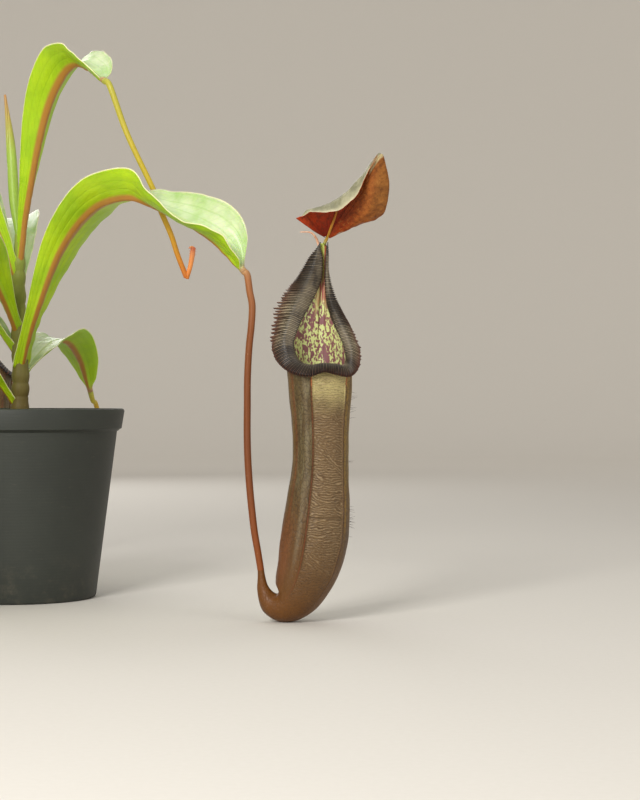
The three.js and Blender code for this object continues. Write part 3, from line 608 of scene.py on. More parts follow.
def cup_inside_finish():
    """Pale yellow green with maroon spots and two blotches, and a double stripe up to the neck."""
    finish = Finish("cup_inside", 0.45)
    turn, way = finish.marks()
    where = finish.place((1, 1, 0.62))
    cloud = where.noise(0.2)
    bent = where.bent(0.7, 1.1)
    small = bent.noise(0.75, 1, 0.4).rises(0.53, 0.555)
    dots = bent.cells(0.6).rises(0.38, 0.32) * cloud.rises(0.36, 0.44)
    spots = small.most(bent.noise(0.27, 2, 0.45).rises(0.575, 0.6)).most(dots)
    ragged = 1.1 * where.noise(0.55, 2)
    for beside, up, wide, tall in ((0.028, 0.7, 0.026, 0.028), (0.016, 0.787, 0.016, 0.018)):
        far = ((turn - beside) / wide) ** 2 + ((way - up) / tall) ** 2
        spots = spots.most((far + ragged).rises(1.45, 1.3))
    maroon = finish.blend(where.noise(0.4), "6e3444", "98596a")
    # above the mouth the spots give way to red streaks, which run into a green and a red stripe
    back = 0.5 - abs(turn - 0.5)
    fork = way.rises(0.82, 0.85) * back.rises(0.045, 0.025)
    streaks = finish.place((1, 1, 0.05)).noise(0.85, 2).rises(0.45, 0.52)
    neck = way.rises(0.88, 0.93) * back.rises(0.045, 0.03)
    green = turn.rises(0.4, 0.5) + turn.rises(0.006, 0.004)
    finish.ground(cloud, "e3eaa8", "cad582")
    finish.coats(
        (spots * (1 - fork) * 0.95, maroon),
        (fork * (0.2 + 0.75 * streaks), "a8504a"),
        (neck, finish.blend(green, "94462c", "b8c458")),
    )
    return finish.done(0.42, where.noise(0.6), 0.15)


def lip_finish():
    """Nearly black between ribs, with a grey brown painted highlight on their crests that turns redder
    out towards the fringe, and a painted sheen.
    """
    finish = Finish("lip_ribs", 0.5, {"Coat Weight": 0.15, "Coat Roughness": 0.35})
    across, crest = finish.marks()
    where = finish.place()
    cloud = where.noise(0.08, 3, 0.6)
    fine = where.noise(0.9, 2)
    # light: the colour of the painted highlight on the ribs' crests, redder out towards the fringe
    light = finish.blend(cloud.rises(0.35, 0.65), "857460", "c4b696")
    light = finish.blend(across.rises(0.52, 0.85), light, "7a3c24")
    # a painted sheen across the middle of the lip's width
    painted_sheen = across.rises(0.2, 0.32) * across.rises(0.58, 0.42) * cloud.rises(0.35, 0.6)
    finish.ground(cloud, "110c0a", "1e1713")
    finish.coats(
        # painted highlights on the crests
        (crest.rises(0.45, 0.95) * (0.35 + 0.75 * fine), light),
        (painted_sheen * 0.42, "8a7d66"),
        (across.rises(0.24, 0.1) * 0.6, "33241a"),
        (across.rises(0.08, 0.02) * 0.85, "0e0907"),
    )
    return finish.done(0.3 + 0.2 * fine, fine, 0.06)


def lid_under_finish():
    """Deep red on the left to tan on the right, mottled, with fine veins, glands and a pale tip."""
    finish = Finish("lid_under", 0.22)
    ray, share = finish.marks()
    where = finish.place()
    grain = where.noise(1.0, 3, 0.65)
    red = finish.blend(share.rises(0.15, 0.7), "761602", "a63405")
    tan = finish.blend(share.rises(0.2, 0.9), "8c3004", "96602a")
    mottled = where.bent(0.3, 2).noise(0.38, 4, 0.7)
    veins = (ray * 75 + 5 * where.noise(0.12, 2)).wave().rises(0.6, 1.0) * share.rises(0.1, 0.3)
    glands = where.cells(0.75).rises(0.24, 0.08)
    finish.ground(ray.rises(0.32, 0.72), red, tan)
    finish.coats(
        (ray.rises(0.75, 0.95) * 0.7, "a84e0a"),
        (where.noise(0.09, 4, 0.6).rises(0.4, 0.8) * 0.3, "5a220c"),
        (mottled.rises(0.46, 0.62) * 0.42, "4c2410"),
        (mottled.rises(0.44, 0.34) * ray.rises(0.5, 0.7) * 0.4, "b07a3c"),
        # painted light: a lighter band along the fold on the right, which lifts the shade that falls there
        (share.near(0.68, 0.1) * ray.rises(0.5, 0.7) * 0.35, "b0642a"),
        (veins * 0.22, "431307"),
        (glands * 0.5, "33110a"),
        (ray.near(0.6, 0.05).rises(0.2, 0.5) * share.rises(0.6, 0.66), "c2b084"),
    )
    finish.shade(0.72 + 0.5 * grain)
    return finish.done(0.42 + 0.2 * grain, 0.5 * grain + 0.5 * glands - 0.6 * veins, 0.16)


def lid_upper_finish():
    """Pale grey green with a cream edge, as the turned over margin shows."""
    finish = Finish("lid_upper", 0.45)
    ray, share = finish.marks()
    where = finish.place()
    grain = where.noise(0.9, 3, 0.6)
    lines = (share * 34 + where.noise(0.25) * 7).wave().rises(0.5, 1.0)
    finish.ground(where.noise(0.12, 4, 0.6).rises(0.35, 0.65), "85836a", "aca88a")
    finish.coats(
        (lines * 0.3, "75724f"),
        (share.rises(0.93, 1.0) * 0.8, "d0c8a6"),
        (ray.near(0.565, 0.03).rises(0.1, 0.6) * 0.75, "8a5a2a"),
    )
    finish.shade(0.8 + 0.3 * grain)
    return finish.done(0.45, grain - 0.6 * lines, 0.16)


def leaf_finish(name, pale, green, midrib, rib_share, gloss):
    """A leaf's face: long veins beside the midrib, fine cross veins, a cream margin, and a tan tip
    where the tendril begins. A little light passes through it."""
    finish = Finish(name, 0.4, {
        "Coat Weight": gloss, "Coat Roughness": 0.25, "Subsurface Weight": 0.3,
        "Subsurface Radius": (0.7, 1.0, 0.2), "Subsurface Scale": 0.002,
    })
    across, way = finish.marks()
    where = finish.place()
    off = abs(across - 0.5) * 2
    cloud = where.noise(0.03, 4, 0.6)
    fine = where.noise(0.35, 3, 0.6)
    long_veins = (off * 22 + 0.6 * cloud).wave().rises(0.72, 1.0) * off.rises(0.12, 0.25)
    slant = (way * 230 - off * 34 + 5 * fine).wave().rises(0.75, 1.0)
    finish.ground(cloud.rises(0.3, 0.7), green, pale)
    finish.coats((long_veins * 0.35, green))
    finish.shade(0.92 + 0.16 * fine - 0.05 * slant)
    finish.coats(
        (off.rises(rib_share, 0.4 * rib_share), midrib),
        (off.rises(0.965, 0.99) * 0.9, "eceab8"),
        (way.rises(0.955, 0.995), "b48a5e"),
    )
    return finish.done(0.36 + 0.16 * fine, 0.5 * fine - 0.6 * long_veins - 0.25 * slant, 0.14)


def stalk_finish(name, stops, roughness=0.34):
    """A stalk whose colour changes along it, with fine lengthwise streaks and small pale spots."""
    finish = Finish(name, 0.35)
    turn, way = finish.marks()
    where = finish.place()
    streak = finish.place((1, 1, 0.08)).noise(0.9, 3, 0.6)
    fine = where.noise(0.5, 3, 0.6)
    finish.colour = finish.node("ValToRGB", {"stops": stops}, {0: way})
    finish.shade(0.72 + 0.34 * streak + 0.22 * fine)
    finish.coats((where.cells(0.45).rises(0.17, 0.08) * where.noise(0.2).rises(0.5, 0.6) * 0.35, "c9a27c"))
    return finish.done(roughness + 0.16 * fine, 0.7 * streak + 0.4 * fine, 0.12)


def pot_finish():
    """Matt dark plastic with faint turning lines, scuffs and dried splashes near the soil."""
    finish = Finish("pot_plastic", 0.4)
    where = finish.place()
    height = where.part(2)
    grain = where.noise(1.6, 3, 0.6)
    scuff = finish.place((0.3, 0.3, 2.2)).noise(0.35, 4, 0.7).rises(0.6, 0.75)
    dust = where.noise(0.09, 5, 0.7).rises(0.45, 0.8) * height.rises(40, 0)
    finish.ground(where.noise(0.02, 4, 0.6), "2d302c", "3a3e38")
    finish.coats((dust * 0.35 + scuff * 0.12, "7d7563"))
    return finish.done(0.5 + 0.12 * grain + 0.2 * dust, 0.5 * grain + 0.1 * (height * 3.1).wave(), 0.1)


def bed_finish():
    """Dark damp fibre between the bark."""
    finish = Finish("medium_fibre", 0.2)
    where = finish.place()
    cloud = where.noise(0.12, 5, 0.7)
    fibre = where.bent(0.2, 6).noise(0.8, 4, 0.7)
    finish.ground(cloud.rises(0.35, 0.65), "2b1d12", "5b4128")
    finish.coats((fibre.rises(0.55, 0.75) * 0.6, "8b6b42"))
    return finish.done(0.95, 0.5 * cloud + 0.5 * fibre, 0.9)


def bark_finish():
    finish = Finish("bark_chip", 0.25)
    grain = finish.place((0.25, 1, 1)).noise(0.9, 4, 0.65)
    finish.ground(finish.place().noise(0.13, 3).rises(0.35, 0.65), "4a2f1c", "7c5534")
    finish.coats((grain.rises(0.5, 0.75) * 0.6, "a98256"))
    return finish.done(0.85, grain, 0.5)


def plain_finish(name, low, high, scale, roughness, depth):
    """Two colours clouded together, with a fine relief."""
    finish = Finish(name, 0.4)
    where = finish.place()
    finish.ground(where.noise(scale, 4, 0.6).rises(0.3, 0.7), low, high)
    return finish.done(roughness, where.noise(scale * 4, 3, 0.6), depth)


CUP_OUTSIDE = cup_outside_finish()
CUP_INSIDE = cup_inside_finish()
LIP = lip_finish()
LID_UNDER = lid_under_finish()
LID_UPPER = lid_upper_finish()
SPUR_FINISH = plain_finish("spur_flesh", "cf8f6c", "e6b898", 0.4, 0.5, 0.05)
LEAF_UPPER = leaf_finish("leaf_upper", "dde5c0", "a3c670", "bdd084", 0.07, 0.3)
LEAF_UNDER = leaf_finish("leaf_under", "b8d614", "9cc212", "b07a2e", 0.2, 0.1)
TENDRIL = stalk_finish("tendril_skin", [
    (0.0, "b4895c"), (0.1, "9a6238"), (0.3, "7f4822"), (0.6, "733e1b"), (1.0, "86461b"),
])
KEEL = stalk_finish("lid_keel", [(0.0, "76803a"), (0.12, "9a8430"), (0.4, "b07c26"), (1.0, "a8661e")])
YOUNG_TENDRIL = stalk_finish("young_tendril_skin", [
    (0.0, "aeb046"), (0.5, "c4a92a"), (0.85, "bd8420"), (1.0, "c06a22"),
])
BUD = stalk_finish("bud_skin", [(0.0, "cc7428"), (0.4, "de8c48"), (0.8, "e08f58"), (1.0, "d06a48")])
STEM = stalk_finish("stem_skin", [(0.0, "5c4a2a"), (0.4, "6f6232"), (0.75, "7f8238"), (1.0, "93a044")], 0.47)
SPEAR_FINISH = stalk_finish("spear_skin", [(0.0, "8fae40"), (0.6, "a8c454"), (1.0, "c08a50")])
HAIR = plain_finish("hair", "2a1a12", "4a3020", 0.3, 0.5, 0.02)
PINK_HAIR = plain_finish("bud_hair", "c07a60", "d89a80", 0.3, 0.5, 0.02)
POT_PLASTIC = pot_finish()
BED = bed_finish()
BARK = bark_finish()
PERLITE = plain_finish("perlite", "d9d4c8", "f0ede4", 0.5, 0.9, 0.3)
MOSS = plain_finish("moss", "6f7c3c", "b3a968", 0.2, 0.85, 0.2)


# Camera and setting, in metres

camera_data = bpy.data.cameras.new("camera")
camera_data.lens = 84.15
camera_data.sensor_width = 36
camera = bpy.data.objects.new("camera", camera_data)
camera.location = (0.2, -1.24, 0.1306)
camera.rotation_euler = (math.radians(90), 0, 0)
bpy.context.collection.objects.link(camera)
bpy.context.scene.camera = camera

FLOOR_SIZE = 9
# How far out the floor is flat, and how steeply it rises beyond
FLAT_TO = 3.1
STEEPNESS = 1.4
# Where its own light begins and where it is full, in millimetres from the middle
GLOW_FROM, GLOW_TO = 700, 2600


def setting():
    """A pale floor that curves up all round, far enough out to stand in for a wall from any side,
    and gives off a little light there."""
    floor = added(bpy.ops.mesh.primitive_grid_add, x_subdivisions=90, y_subdivisions=90, size=FLOOR_SIZE)
    floor.name = "floor"
    for vertex in floor.data.vertices:
        out = math.hypot(vertex.co.x, vertex.co.y)
        vertex.co.z = STEEPNESS * max(0, out - FLAT_TO) ** 2
    bpy.ops.object.shade_smooth()
    paper = Finish("backdrop_paper", 0.1, {"Roughness": 0.9, "Emission Strength": 1})
    where = paper.place()
    out = where.vector("LENGTH", {}, "Value")
    paper.drive({
        "Base Color": paper.blend(where.noise(0.3), "d9d5cd", "dedad3"),
        "Emission Color": paper.blend(out.rises(GLOW_FROM, GLOW_TO), "000000", "7d7973"),
    })
    paper.material.cycles.emission_sampling = "NONE"
    floor.data.materials.append(paper.material)


def softbox(name, place, aim, size, watts, warmth=(1, 1, 1)):
    light = bpy.data.lights.new(name, "AREA")
    light.shape = "RECTANGLE"
    light.size, light.size_y = size
    light.energy = watts
    light.color = warmth
    lamp = bpy.data.objects.new(name, light)
    bpy.context.collection.objects.link(lamp)
    lamp.visible_camera = False
    lamp.location = place
    lamp.rotation_euler = (Vector(aim) - Vector(place)).to_track_quat("-Z", "Y").to_euler()


setting()
softbox("key", (-0.35, -1.35, 0.75), (0.17, -0.14, 0.15), (0.45, 0.45), 17, (1, 0.98, 0.95))
softbox("fill", (1.25, -1.0, 0.6), (0.15, -0.1, 0.15), (0.8, 0.9), 3.5, (0.96, 0.98, 1))
softbox("top", (0.1, 0.2, 1.4), (0.1, 0, 0.1), (1.4, 1.2), 7)
softbox("behind", (-0.5, 1.5, 0.8), (0.1, 0, 0.15), (0.9, 0.9), 6)
world = bpy.data.worlds.new("studio")
bpy.context.scene.world = world
world.use_nodes = True
sky = world.node_tree.nodes["Background"].inputs
sky["Color"].default_value = (1, 0.97, 0.92, 1)
sky["Strength"].default_value = 0.13
bpy.context.scene.view_settings.view_transform = "Standard"


# Pitchers

def lip_frame(t):
    """Start, width and directions across and up from the lip's face, at t round the mouth."""
    start = spline(LIP_INNER, t)
    across = spline(LIP_OUTER, t) - start
    width = np.linalg.norm(across, axis=-1)
    across = unit(across)
    around = heading(LIP_INNER, t) + heading(LIP_OUTER, t)
    return start, width, across, unit(np.cross(across, around))


def lip_seat(t, inset):
    """Where the cup's wall ends under the lip."""
    start, width, across, up = lip_frame(t)
    rise = 0.2 * width - 0.5
    return start + across * (LIP_SEAT * width - inset)[:, None] + up * rise[:, None]


def cup_edge(angles, inset):
    """The cup's slanting upper edge at angles, in degrees from 180 down to -180."""
    table = np.array(LIP_OVER_CUP)
    turned_down = np.where(angles > table[0, 0], angles - 360, angles)
    edge = lip_seat(np.interp(-turned_down, -table[:, 0], table[:, 1]), inset)
    first, last = lip_seat(np.array(NECK_SEATS), inset)
    corners = np.array([first, *NECK, last])
    corners[1:3, 1] -= inset
    neck = np.stack([np.interp(-turned_down, NECK_ANGLES, side) for side in corners.T], -1)
    return np.where((np.abs(angles) > NECK_ANGLES[0])[:, None], neck, edge)


def cup_ring(t, angles, inset):
    """Rings of the round body at t along it, set in from its outside."""
    centre = spline(CUP_AXIS, t)
    ahead = heading(CUP_AXIS, t)
    side = np.stack([ahead[:, 2], np.zeros(len(t)), -ahead[:, 0]], -1)
    radius = values(CUP_RADII, t)[:, None] - inset + np.zeros_like(angles)[None, :]
    turn = np.radians(angles)
    if inset == 0:
        share = smooth(t, 0.3, 0.5)[:, None]
        for wing, high in zip(WINGS, WING_HEIGHTS):
            off = (angles - wing + 180) % 360 - 180
            radius = radius + share * high * bell(off, WING_WIDTH)
    points = centre[:, None] + side[:, None] * (radius * np.sin(turn))[..., None]
    points[..., 1] -= radius * np.cos(turn)
    points[..., 2] = np.maximum(points[..., 2], inset)
    return points


def collar(share, angles, inset):
    """Rings from the top of the round body to the slanting upper edge."""
    start = cup_ring(np.array([1.0]), angles, inset)[0]
    edge = cup_edge(angles, inset)
    eased = smooth(share, 0, 1)[:, None, None]
    points = start[None] * (1 - eased) + edge[None] * eased
    points[..., 2] = start[None, :, 2] * (1 - share[:, None]) + edge[None, :, 2] * share[:, None]
    return points


def wrinkles(points, angles, way, pitch):
    """Wavy wrinkles, 0 in a crease and 1 on a ridge, netted and mostly crosswise between the wings."""
    wander = 1.1 * uneven(points, 4.2 * pitch, 11) + 0.6 * uneven(points, 2.4 * pitch, 12)
    step = math.pi / pitch
    x, z = points[..., 0], points[..., 2]
    crosswise = np.abs(np.sin(z * step + wander))
    slanting = np.abs(np.sin((0.75 * z + 0.6 * x) * step + 1.2 * wander))
    netted = smooth(uneven(points, 16, 13), 0.1, 0.6)
    ridge = (crosswise * (1 - netted) + slanting * netted) ** 0.75
    ridge = ridge * (1 - 0.7 * bell(z - FOLD_AT, 0.5))
    between = smooth(angles, -14, -12) * (1 - smooth(angles, 47, 50))
    over = smooth(way, 0.1, 0.34) * (1 - smooth(way, 0.9, 0.98))
    return 0.5 + (ridge - 0.5) * ((0.22 + 0.78 * between) * over[:, None])


def cup(name, put, around, along, pitch):
    """The hollow cup. Its marks are the turn round it and the way up, 0 to 0.6 below the collar."""
    plain = np.linspace(180, -180, around + 1)
    beside_wings = [wing + off for wing in WINGS for off in np.arange(-5, 5.1, 0.9)]
    beside_neck = [side * (180 - off) for side in (1, -1) for off in (1, 2, 3, 5, 7, 9)]
    panel = np.linspace(*WINGS, around // 3)
    angles = np.unique(np.concatenate([plain, panel, beside_wings, beside_neck]))[::-1]
    angles = angles[np.abs(np.diff(angles, prepend=400)) > 0.3]
    up = np.linspace(0, 1, along) ** 1.15
    shares = np.linspace(0.02, 1, along // 12)
    down = np.linspace(1, 0.27, along // 10)
    collar_ways = BODY_SHARE + (1 - BODY_SHARE) * shares
    outer_ways = np.concatenate([up * BODY_SHARE, collar_ways])
    outer = np.concatenate([cup_ring(up, angles, 0), collar(shares, angles, 0)])
    ridge = wrinkles(outer, angles, outer_ways, pitch)
    uneven_skin = 0.12 * uneven(outer, 9, 3) * smooth(outer_ways, 1, 0.9)[:, None]
    raised = uneven_skin + CUP_RELIEF * pitch * (ridge - 0.5)
    outer = outer + unit(outer - centre_of(outer)) * raised[..., None]
    outer[..., 2] = np.maximum(outer[..., 2], 0)
    lining = collar(shares[::-1], angles, CUP_WALL)
    inner = cup_ring(down, angles, CUP_WALL)
    tail = np.repeat(centre_of(outer[:1]), len(angles), axis=1)
    bottom = np.repeat(centre_of(inner[-1:]) + HOLLOW_END, len(angles), axis=1)
    near_bottom = inner[-1:] * 0.4 + bottom * 0.6
    rings = np.concatenate([tail, outer, lining, inner, near_bottom, bottom])
    ways = np.concatenate([[0], outer_ways, collar_ways[::-1], down * BODY_SHARE, [0.1, 0.1]])
    marks = marked((180 - angles) / 360, ways[:, None])
    relief = np.full(rings.shape[:2], 0.5)
    relief[1:len(outer) + 1] = ridge
    lined = np.arange(len(rings) - 1)[:, None] > len(outer)
    return skin(name, put(rings), marks, [CUP_OUTSIDE, CUP_INSIDE], lined, relief)


def lip(name, put, ribs, thickness):
    """The ribbed lip, its ribs running out as teeth. Its marks are the way across it, from the mouth
    outwards, and the strength of a painted highlight, highest on a rib's crest."""
    t = np.linspace(0, 1, ribs * 8 + 1)
    start, width, across, up = lip_frame(t)
    phase = t * ribs + 0.3 * np.sin(t * 61) + 0.2 * np.sin(t * 143)
    crest = (0.5 + 0.5 * np.cos(phase * FULL_TURN)) * smooth(t, 0, 0.02) * smooth(t, 1, 0.98)
    second = 0.5 + 0.5 * np.cos(phase * FULL_TURN / 2)
    tall = (0.75 + 0.5 * uneven(start, 5, 8) * 0.5) * (0.85 + 0.25 * second)
    reach = np.interp(t, *np.transpose(LIP_FRINGE))
    bristle = crest ** 4 * (0.62 + 0.3 * second + 0.2 * uneven(start, 2.5, 9))
    turned_in = np.minimum(1, width / 9) * (1 - 0.75 * smooth(reach, 1.5, 5))
    zero = np.zeros_like(t)
    below_neck = smooth(t, 0, 0.1) * smooth(t, 1, 0.92)
    # the middle line of a section, as places across and up from the lip's face
    spots = np.array([
        [0.3 - 0.6 * below_neck, -1.3 * turned_in], [zero + 0.1, zero + 0.3],
        [LIP_SEAT * width, 0.2 * width + 0.5], [width - 0.4, zero], [width - 0.5, -1.5 * turned_in],
    ]).transpose(0, 2, 1)
    share = np.linspace(0, 1, LIP_STEPS)
    line = spline(spots, share)
    slope = heading(spots, share)
    normal = np.stack([-slope[..., 1], slope[..., 0]], axis=-1)
    ends = np.stack([smooth(share, 0.14, 0), smooth(share, 0.86, 1)])
    tooth = (0.75 * ends[0])[:, None] * (crest - 0.3) * below_neck
    line = line - slope * tooth[..., None]
    between_ribs = np.minimum(reach, 1.6) * (1 - crest ** 3)
    gap = between_ribs + (reach - np.minimum(reach, 1.6)) * (1 - bristle)
    line[..., 0] -= smooth(share, 0.3, 0.95)[:, None] * gap
    ribbed = (0.45 + 0.55 * np.minimum(smooth(share, 0, 0.25), smooth(share, 1, 0.85)))[:, None]
    half = thickness / 2 * (1 - 0.45 * np.maximum(*ends))[:, None]
    top = line + normal * (half + RIB_HEIGHT * ribbed * (crest - 0.35) * tall)[..., None]
    under = (line - normal * half[..., None])[::-1]
    section = np.concatenate([top, under, top[:1]]).transpose(1, 0, 2)
    slim = (0.3 + 0.7 * smooth(t, 0, 0.04) * smooth(t, 1, 0.96))[:, None, None]
    section = centre_of(section) + (section - centre_of(section)) * slim
    rings = start[:, None] + across[:, None] * section[..., :1] + up[:, None] * section[..., 1:]
    ways = np.concatenate([share, share[::-1], share[:1]])
    on_top = np.concatenate([np.ones(LIP_STEPS), np.zeros(LIP_STEPS), np.ones(1)])
    # lit: how strongly the finish paints a highlight on the crests, kept in the marks of the upper face only
    lit = crest * (0.8 + 0.2 * second) * (0.8 + 0.2 * smooth(reach, 1.5, 4.5))
    marks = marked(ways, lit[:, None] * on_top)
    return skin(name, put(with_ends(rings)), with_ends(marks), [LIP])


def lid(name, put, size, rays, steps, thickness):
    """The lid, turned over along its far edge, and its keel. The marks are the ray, from the left
    round the tip to the right, and the share of the way out along it."""
    t = np.linspace(0, 1, rays + 1)
    base = np.array(LID_BASE)
    fold = spline(LID_FOLDS, t)
    margin = spline(LID_MARGINS, t)
    sag = np.minimum(1, np.linalg.norm(fold - base, axis=-1) / 40)[:, None] ** 2 * (0, 1.4, -1.6)
    corners = np.array([np.broadcast_to(base, fold.shape), (base + fold) / 2 + sag, fold, margin])
    nearest = (2 / np.linalg.norm(margin - base, axis=-1))[:, None]
    share = nearest + (1 - nearest) * np.linspace(0, 1, steps + 1)
    beyond = 2 + (share - LID_FOLD_AT) / (1 - LID_FOLD_AT)
    on_ray = np.where(share < LID_FOLD_AT, 2 * share / LID_FOLD_AT, beyond) / 3
    grid = np.array([spline(corners[:, k], on_ray[k]) for k in range(rays + 1)])
    facing = unit(np.cross(np.gradient(grid, axis=0), np.gradient(grid, axis=1)))
    flap = smooth(share, LID_FOLD_AT - 0.04, LID_FOLD_AT + 0.12)
    creases = 0.25 * uneven(grid, 13, 5) + 0.35 * flap * uneven(grid, 7, 6) * smooth(share, 1.1, 0.8)
    lines = np.sin(t * 190 + 2 * uneven(grid[:, 0], 12, 7))[:, None] * smooth(share, 0.12, 0.4)
    grid = grid + facing * (creases + 0.045 * lines)[..., None]
    grid[..., 2] += smooth(share, 0.88, 1.0) * 0.3 * uneven(grid, 9, 9)
    half = thickness / 2 * (1 - 0.55 * smooth(share, 0.93, 1))[..., None]
    sheet = both_sides(grid + facing * half, grid - facing * half)
    edges = both_sides(grid, grid)
    rings = np.concatenate([edges[:1], sheet, edges[-1:]])
    rings[..., 2] = np.maximum(rings[..., 2], NECK_TOP + 0.3)
    marks = marked(t[:, None], share)[[0, *range(rays + 1), -1]]
    is_upper = np.arange(2 * steps + 2) > steps
    finishes = [LID_UNDER, LID_UPPER]
    blade = skin(name + "_blade", put(rings), both_sides(marks, marks), finishes, is_upper)
    keel = rod(name + "_keel", put(LID_KEEL), [size * r for r in KEEL_RADII], 40, 16, KEEL)
    return joined(name, [blade, keel])


def placing(size, facing, turn, at):
    """What takes points from a pitcher's own frame to where that pitcher stands."""
    cos, sin = math.cos(turn), math.sin(turn)
    spin = np.array([[cos, sin, 0], [-sin, cos, 0], [0, 0, 1]])

    def put(points):
        return (np.asarray(points, float) * (size, size * facing, size)) @ spin + at

    return put


def pitcher(letter, put, size, around, along, pitch, ribs, rays):
    name = "pitcher_" + letter
    settle(cup(name + "_wall", put, around, along, pitch), "pitcher_cup", name + "_cup")
    settle(lip(name + "_ribs", put, ribs, max(1.0, 0.65 / size)), "pitcher_lip", name + "_lip")
    cover = lid(name + "_cover", put, size, rays, rays // 4, max(0.9, 0.65 / size))
    settle(cover, "pitcher_lid", name + "_lid")
    horn = rod(name + "_horn", put(SPUR), [size * r for r in SPUR_RADII], 30, 12, SPUR_FINISH)
    settle(horn, "spur", name + "_spur")


# Leaves

def arched(aim, foot, crown, tip, reach, half, fold, wave, waves):
    """Midrib, left and right margin of an arching leaf."""
    turn = math.radians(aim)
    places = (
        (2, foot), (0.1 * reach, foot + 0.3 * (crown - foot)),
        (0.33 * reach, foot + 0.78 * (crown - foot)), (0.62 * reach, crown),
        (0.85 * reach, tip + 0.66 * (crown - tip)), (reach, tip),
    )
    middle = [(r * math.cos(turn), r * math.sin(turn), z) for r, z in places]
    t = np.linspace(0, 1, 13)
    centre = spline(middle, t)
    ahead = heading(middle, t)
    side = unit(np.cross(ahead, (0, 0, 1)))
    up = np.cross(side, ahead)
    width = half * values(LEAF_SHAPE, t)
    lift = np.radians(fold * (1.6 - 0.9 * t))
    rails = []
    for sign, phase in ((-1, 2.2), (1, 0.4)):
        ripple = wave * values(WAVE_SHAPE, t) * np.sin(FULL_TURN * waves * t + phase)
        edge = centre + side * (sign * width * np.cos(lift))[:, None]
        rails.append(edge + up * (width * np.sin(lift) + ripple)[:, None])
    return centre, *rails


def leaf(name, midrib, far, near, along, half_across, seed):
    """A blade with a grooved upper face and a keeled midrib below. Its marks are the way across,
    0.5 at the midrib, and the way along."""
    t = np.linspace(0, 1, along + 1)
    middle = spline(midrib, t)
    ahead = heading(midrib, t)
    left, right = spline(far, t), spline(near, t)
    v = np.linspace(-1, 1, 2 * half_across + 1)
    v = np.sign(v) * np.abs(v) ** 1.4
    share = np.abs(v)
    left_up = unit(np.cross(ahead, left - middle))
    right_up = -unit(np.cross(ahead, right - middle))
    over = smooth(v, -0.2, 0.2)[:, None]
    up = unit(left_up[:, None] * (1 - over) + right_up[:, None] * over)
    beside = np.where((v < 0)[:, None], left[:, None], right[:, None]) - middle[:, None]
    width = np.linalg.norm(beside, axis=-1)
    sag = 0.4 * width * share * (1 - share)
    sheet = middle[:, None] + beside * share[:, None] - up * sag[..., None]
    flat = smooth(t, 1, 0.85)[:, None]
    quilted = 0.16 * uneven(sheet, 7, seed) + 0.5 * uneven(sheet, 34, seed + 1) * share
    frilled = 0.5 * smooth(share, 0.8, 1.0) * uneven(sheet, 15, seed + 2)
    veins = 0.09 * np.sin(share * 22) * smooth(share, 0.12, 0.3)
    sheet = sheet + up * ((quilted + frilled + veins) * flat)[..., None]
    off = share * width
    half = 0.45 * (1 - 0.5 * smooth(share, 0.9, 1))
    groove = 0.55 * bell(off, 1.0) * flat
    keel = 1.7 * bell(off, 2.1) + 0.5 * np.maximum(0, 1 - share / 0.4)
    # towards its tip the blade is drawn together into a round stalk
    across = unit((right - left) - ahead * np.sum((right - left) * ahead, axis=-1, keepdims=True))
    upright = np.cross(across, ahead)
    angle = (np.arange(len(v)) + 0.5) * math.pi / len(v)
    drawn = smooth(t, 0.93, 1)[:, None, None]
    faces = []
    for lift, sign in ((half - groove, 1), (half + keel, -1)):
        arc = upright[:, None] * (sign * np.sin(angle))[:, None] - across[:, None] * np.cos(angle)[:, None]
        face = sheet + up * (sign * lift)[..., None]
        faces.append(face * (1 - drawn) + (middle[:, None] + arc * 2.0) * drawn)
    marks = marked((v + 1) / 2, np.concatenate([[0], t, [1]])[:, None])
    is_under = np.arange(2 * len(v)) >= len(v)
    rings = with_ends(both_sides(*faces))
    return skin(name, rings, both_sides(marks, marks), [LEAF_UPPER, LEAF_UNDER], is_under)


tips = {}


def grow_leaf(name, rails, along, half_across, seed):
    midrib = rails[0]
    tips[name[-1]] = (spline(midrib, 1.0), heading(midrib, np.array([1.0]))[0])
    settle(leaf(name + "_blade", *rails, along, half_across, seed), "leaf", name)


grow_leaf("leaf_a", LEAF_A, along=170, half_across=26, seed=40)
for number, (letter, shape) in enumerate(LEAVES.items()):
    grow_leaf("leaf_" + letter, arched(*shape), along=96, half_across=18, seed=50 + 4 * number)


# Pitchers and their tendrils

def grow_tendril(letter, run, points, radii, steps, sides, finish, slot):
    """A tendril that goes straight on from its leaf's tip for a run, and then through points."""
    tip, ahead = tips[letter]
    points = [tip + ahead * 0.1, tip + ahead * run, *map(np.array, points)]
    name = "tendril_" + letter
    settle(rod(name + "_strand", points, radii, steps, sides, finish), slot, name)


large_at = placing(1, 1, 0, (200, -140, 0))
pitcher("a", large_at, size=1, around=84, along=540, pitch=1.45, ribs=224, rays=200)
grow_tendril("a", 3, TENDRIL_A, [2.0, 2.05, 2.05, 2.1, 2.1, 2.0], 260, 28, TENDRIL, "tendril")

for letter, (size, rise, facing) in HUNG_PITCHERS.items():
    tip = tips[letter][0]
    aim = LEAVES[letter][0]
    at = tip + outward(aim) * (PITCHER_SIDE * size + HANG)
    at[2] = rise
    put = placing(size, facing, math.radians(aim), at)
    pitcher(letter, put, size, around=54, along=160, pitch=3.0, ribs=92, rays=100)
    high = put((-PITCHER_SIDE, 0, 0))
    high[2] = tip[2] - 26
    low = put((-39, 0, 55))
    middle = (high + low) / 2 + (1.5, -1.5, 0)
    hanging = [high, middle, low, put((-36.6, 0, 41)), put((-34.9, 0, 30.5))]
    grow_tendril(letter, 8, hanging, [2.0, 1.9, 1.8, 2.0 * size + 0.1], 150, 18, TENDRIL, "tendril")


# Hairs

def bristle_of(thick, thin, finish):
    """A hair 1 mm long that stands on its root."""
    hair = added(bpy.ops.mesh.primitive_cone_add, vertices=3, radius1=thick * MM, radius2=thin * MM,
                 depth=1.0 * MM)
    hair.data.transform(Matrix.Translation((0, 0, 0.5 * MM)))
    hair.data.materials.append(finish.material)
    return hair


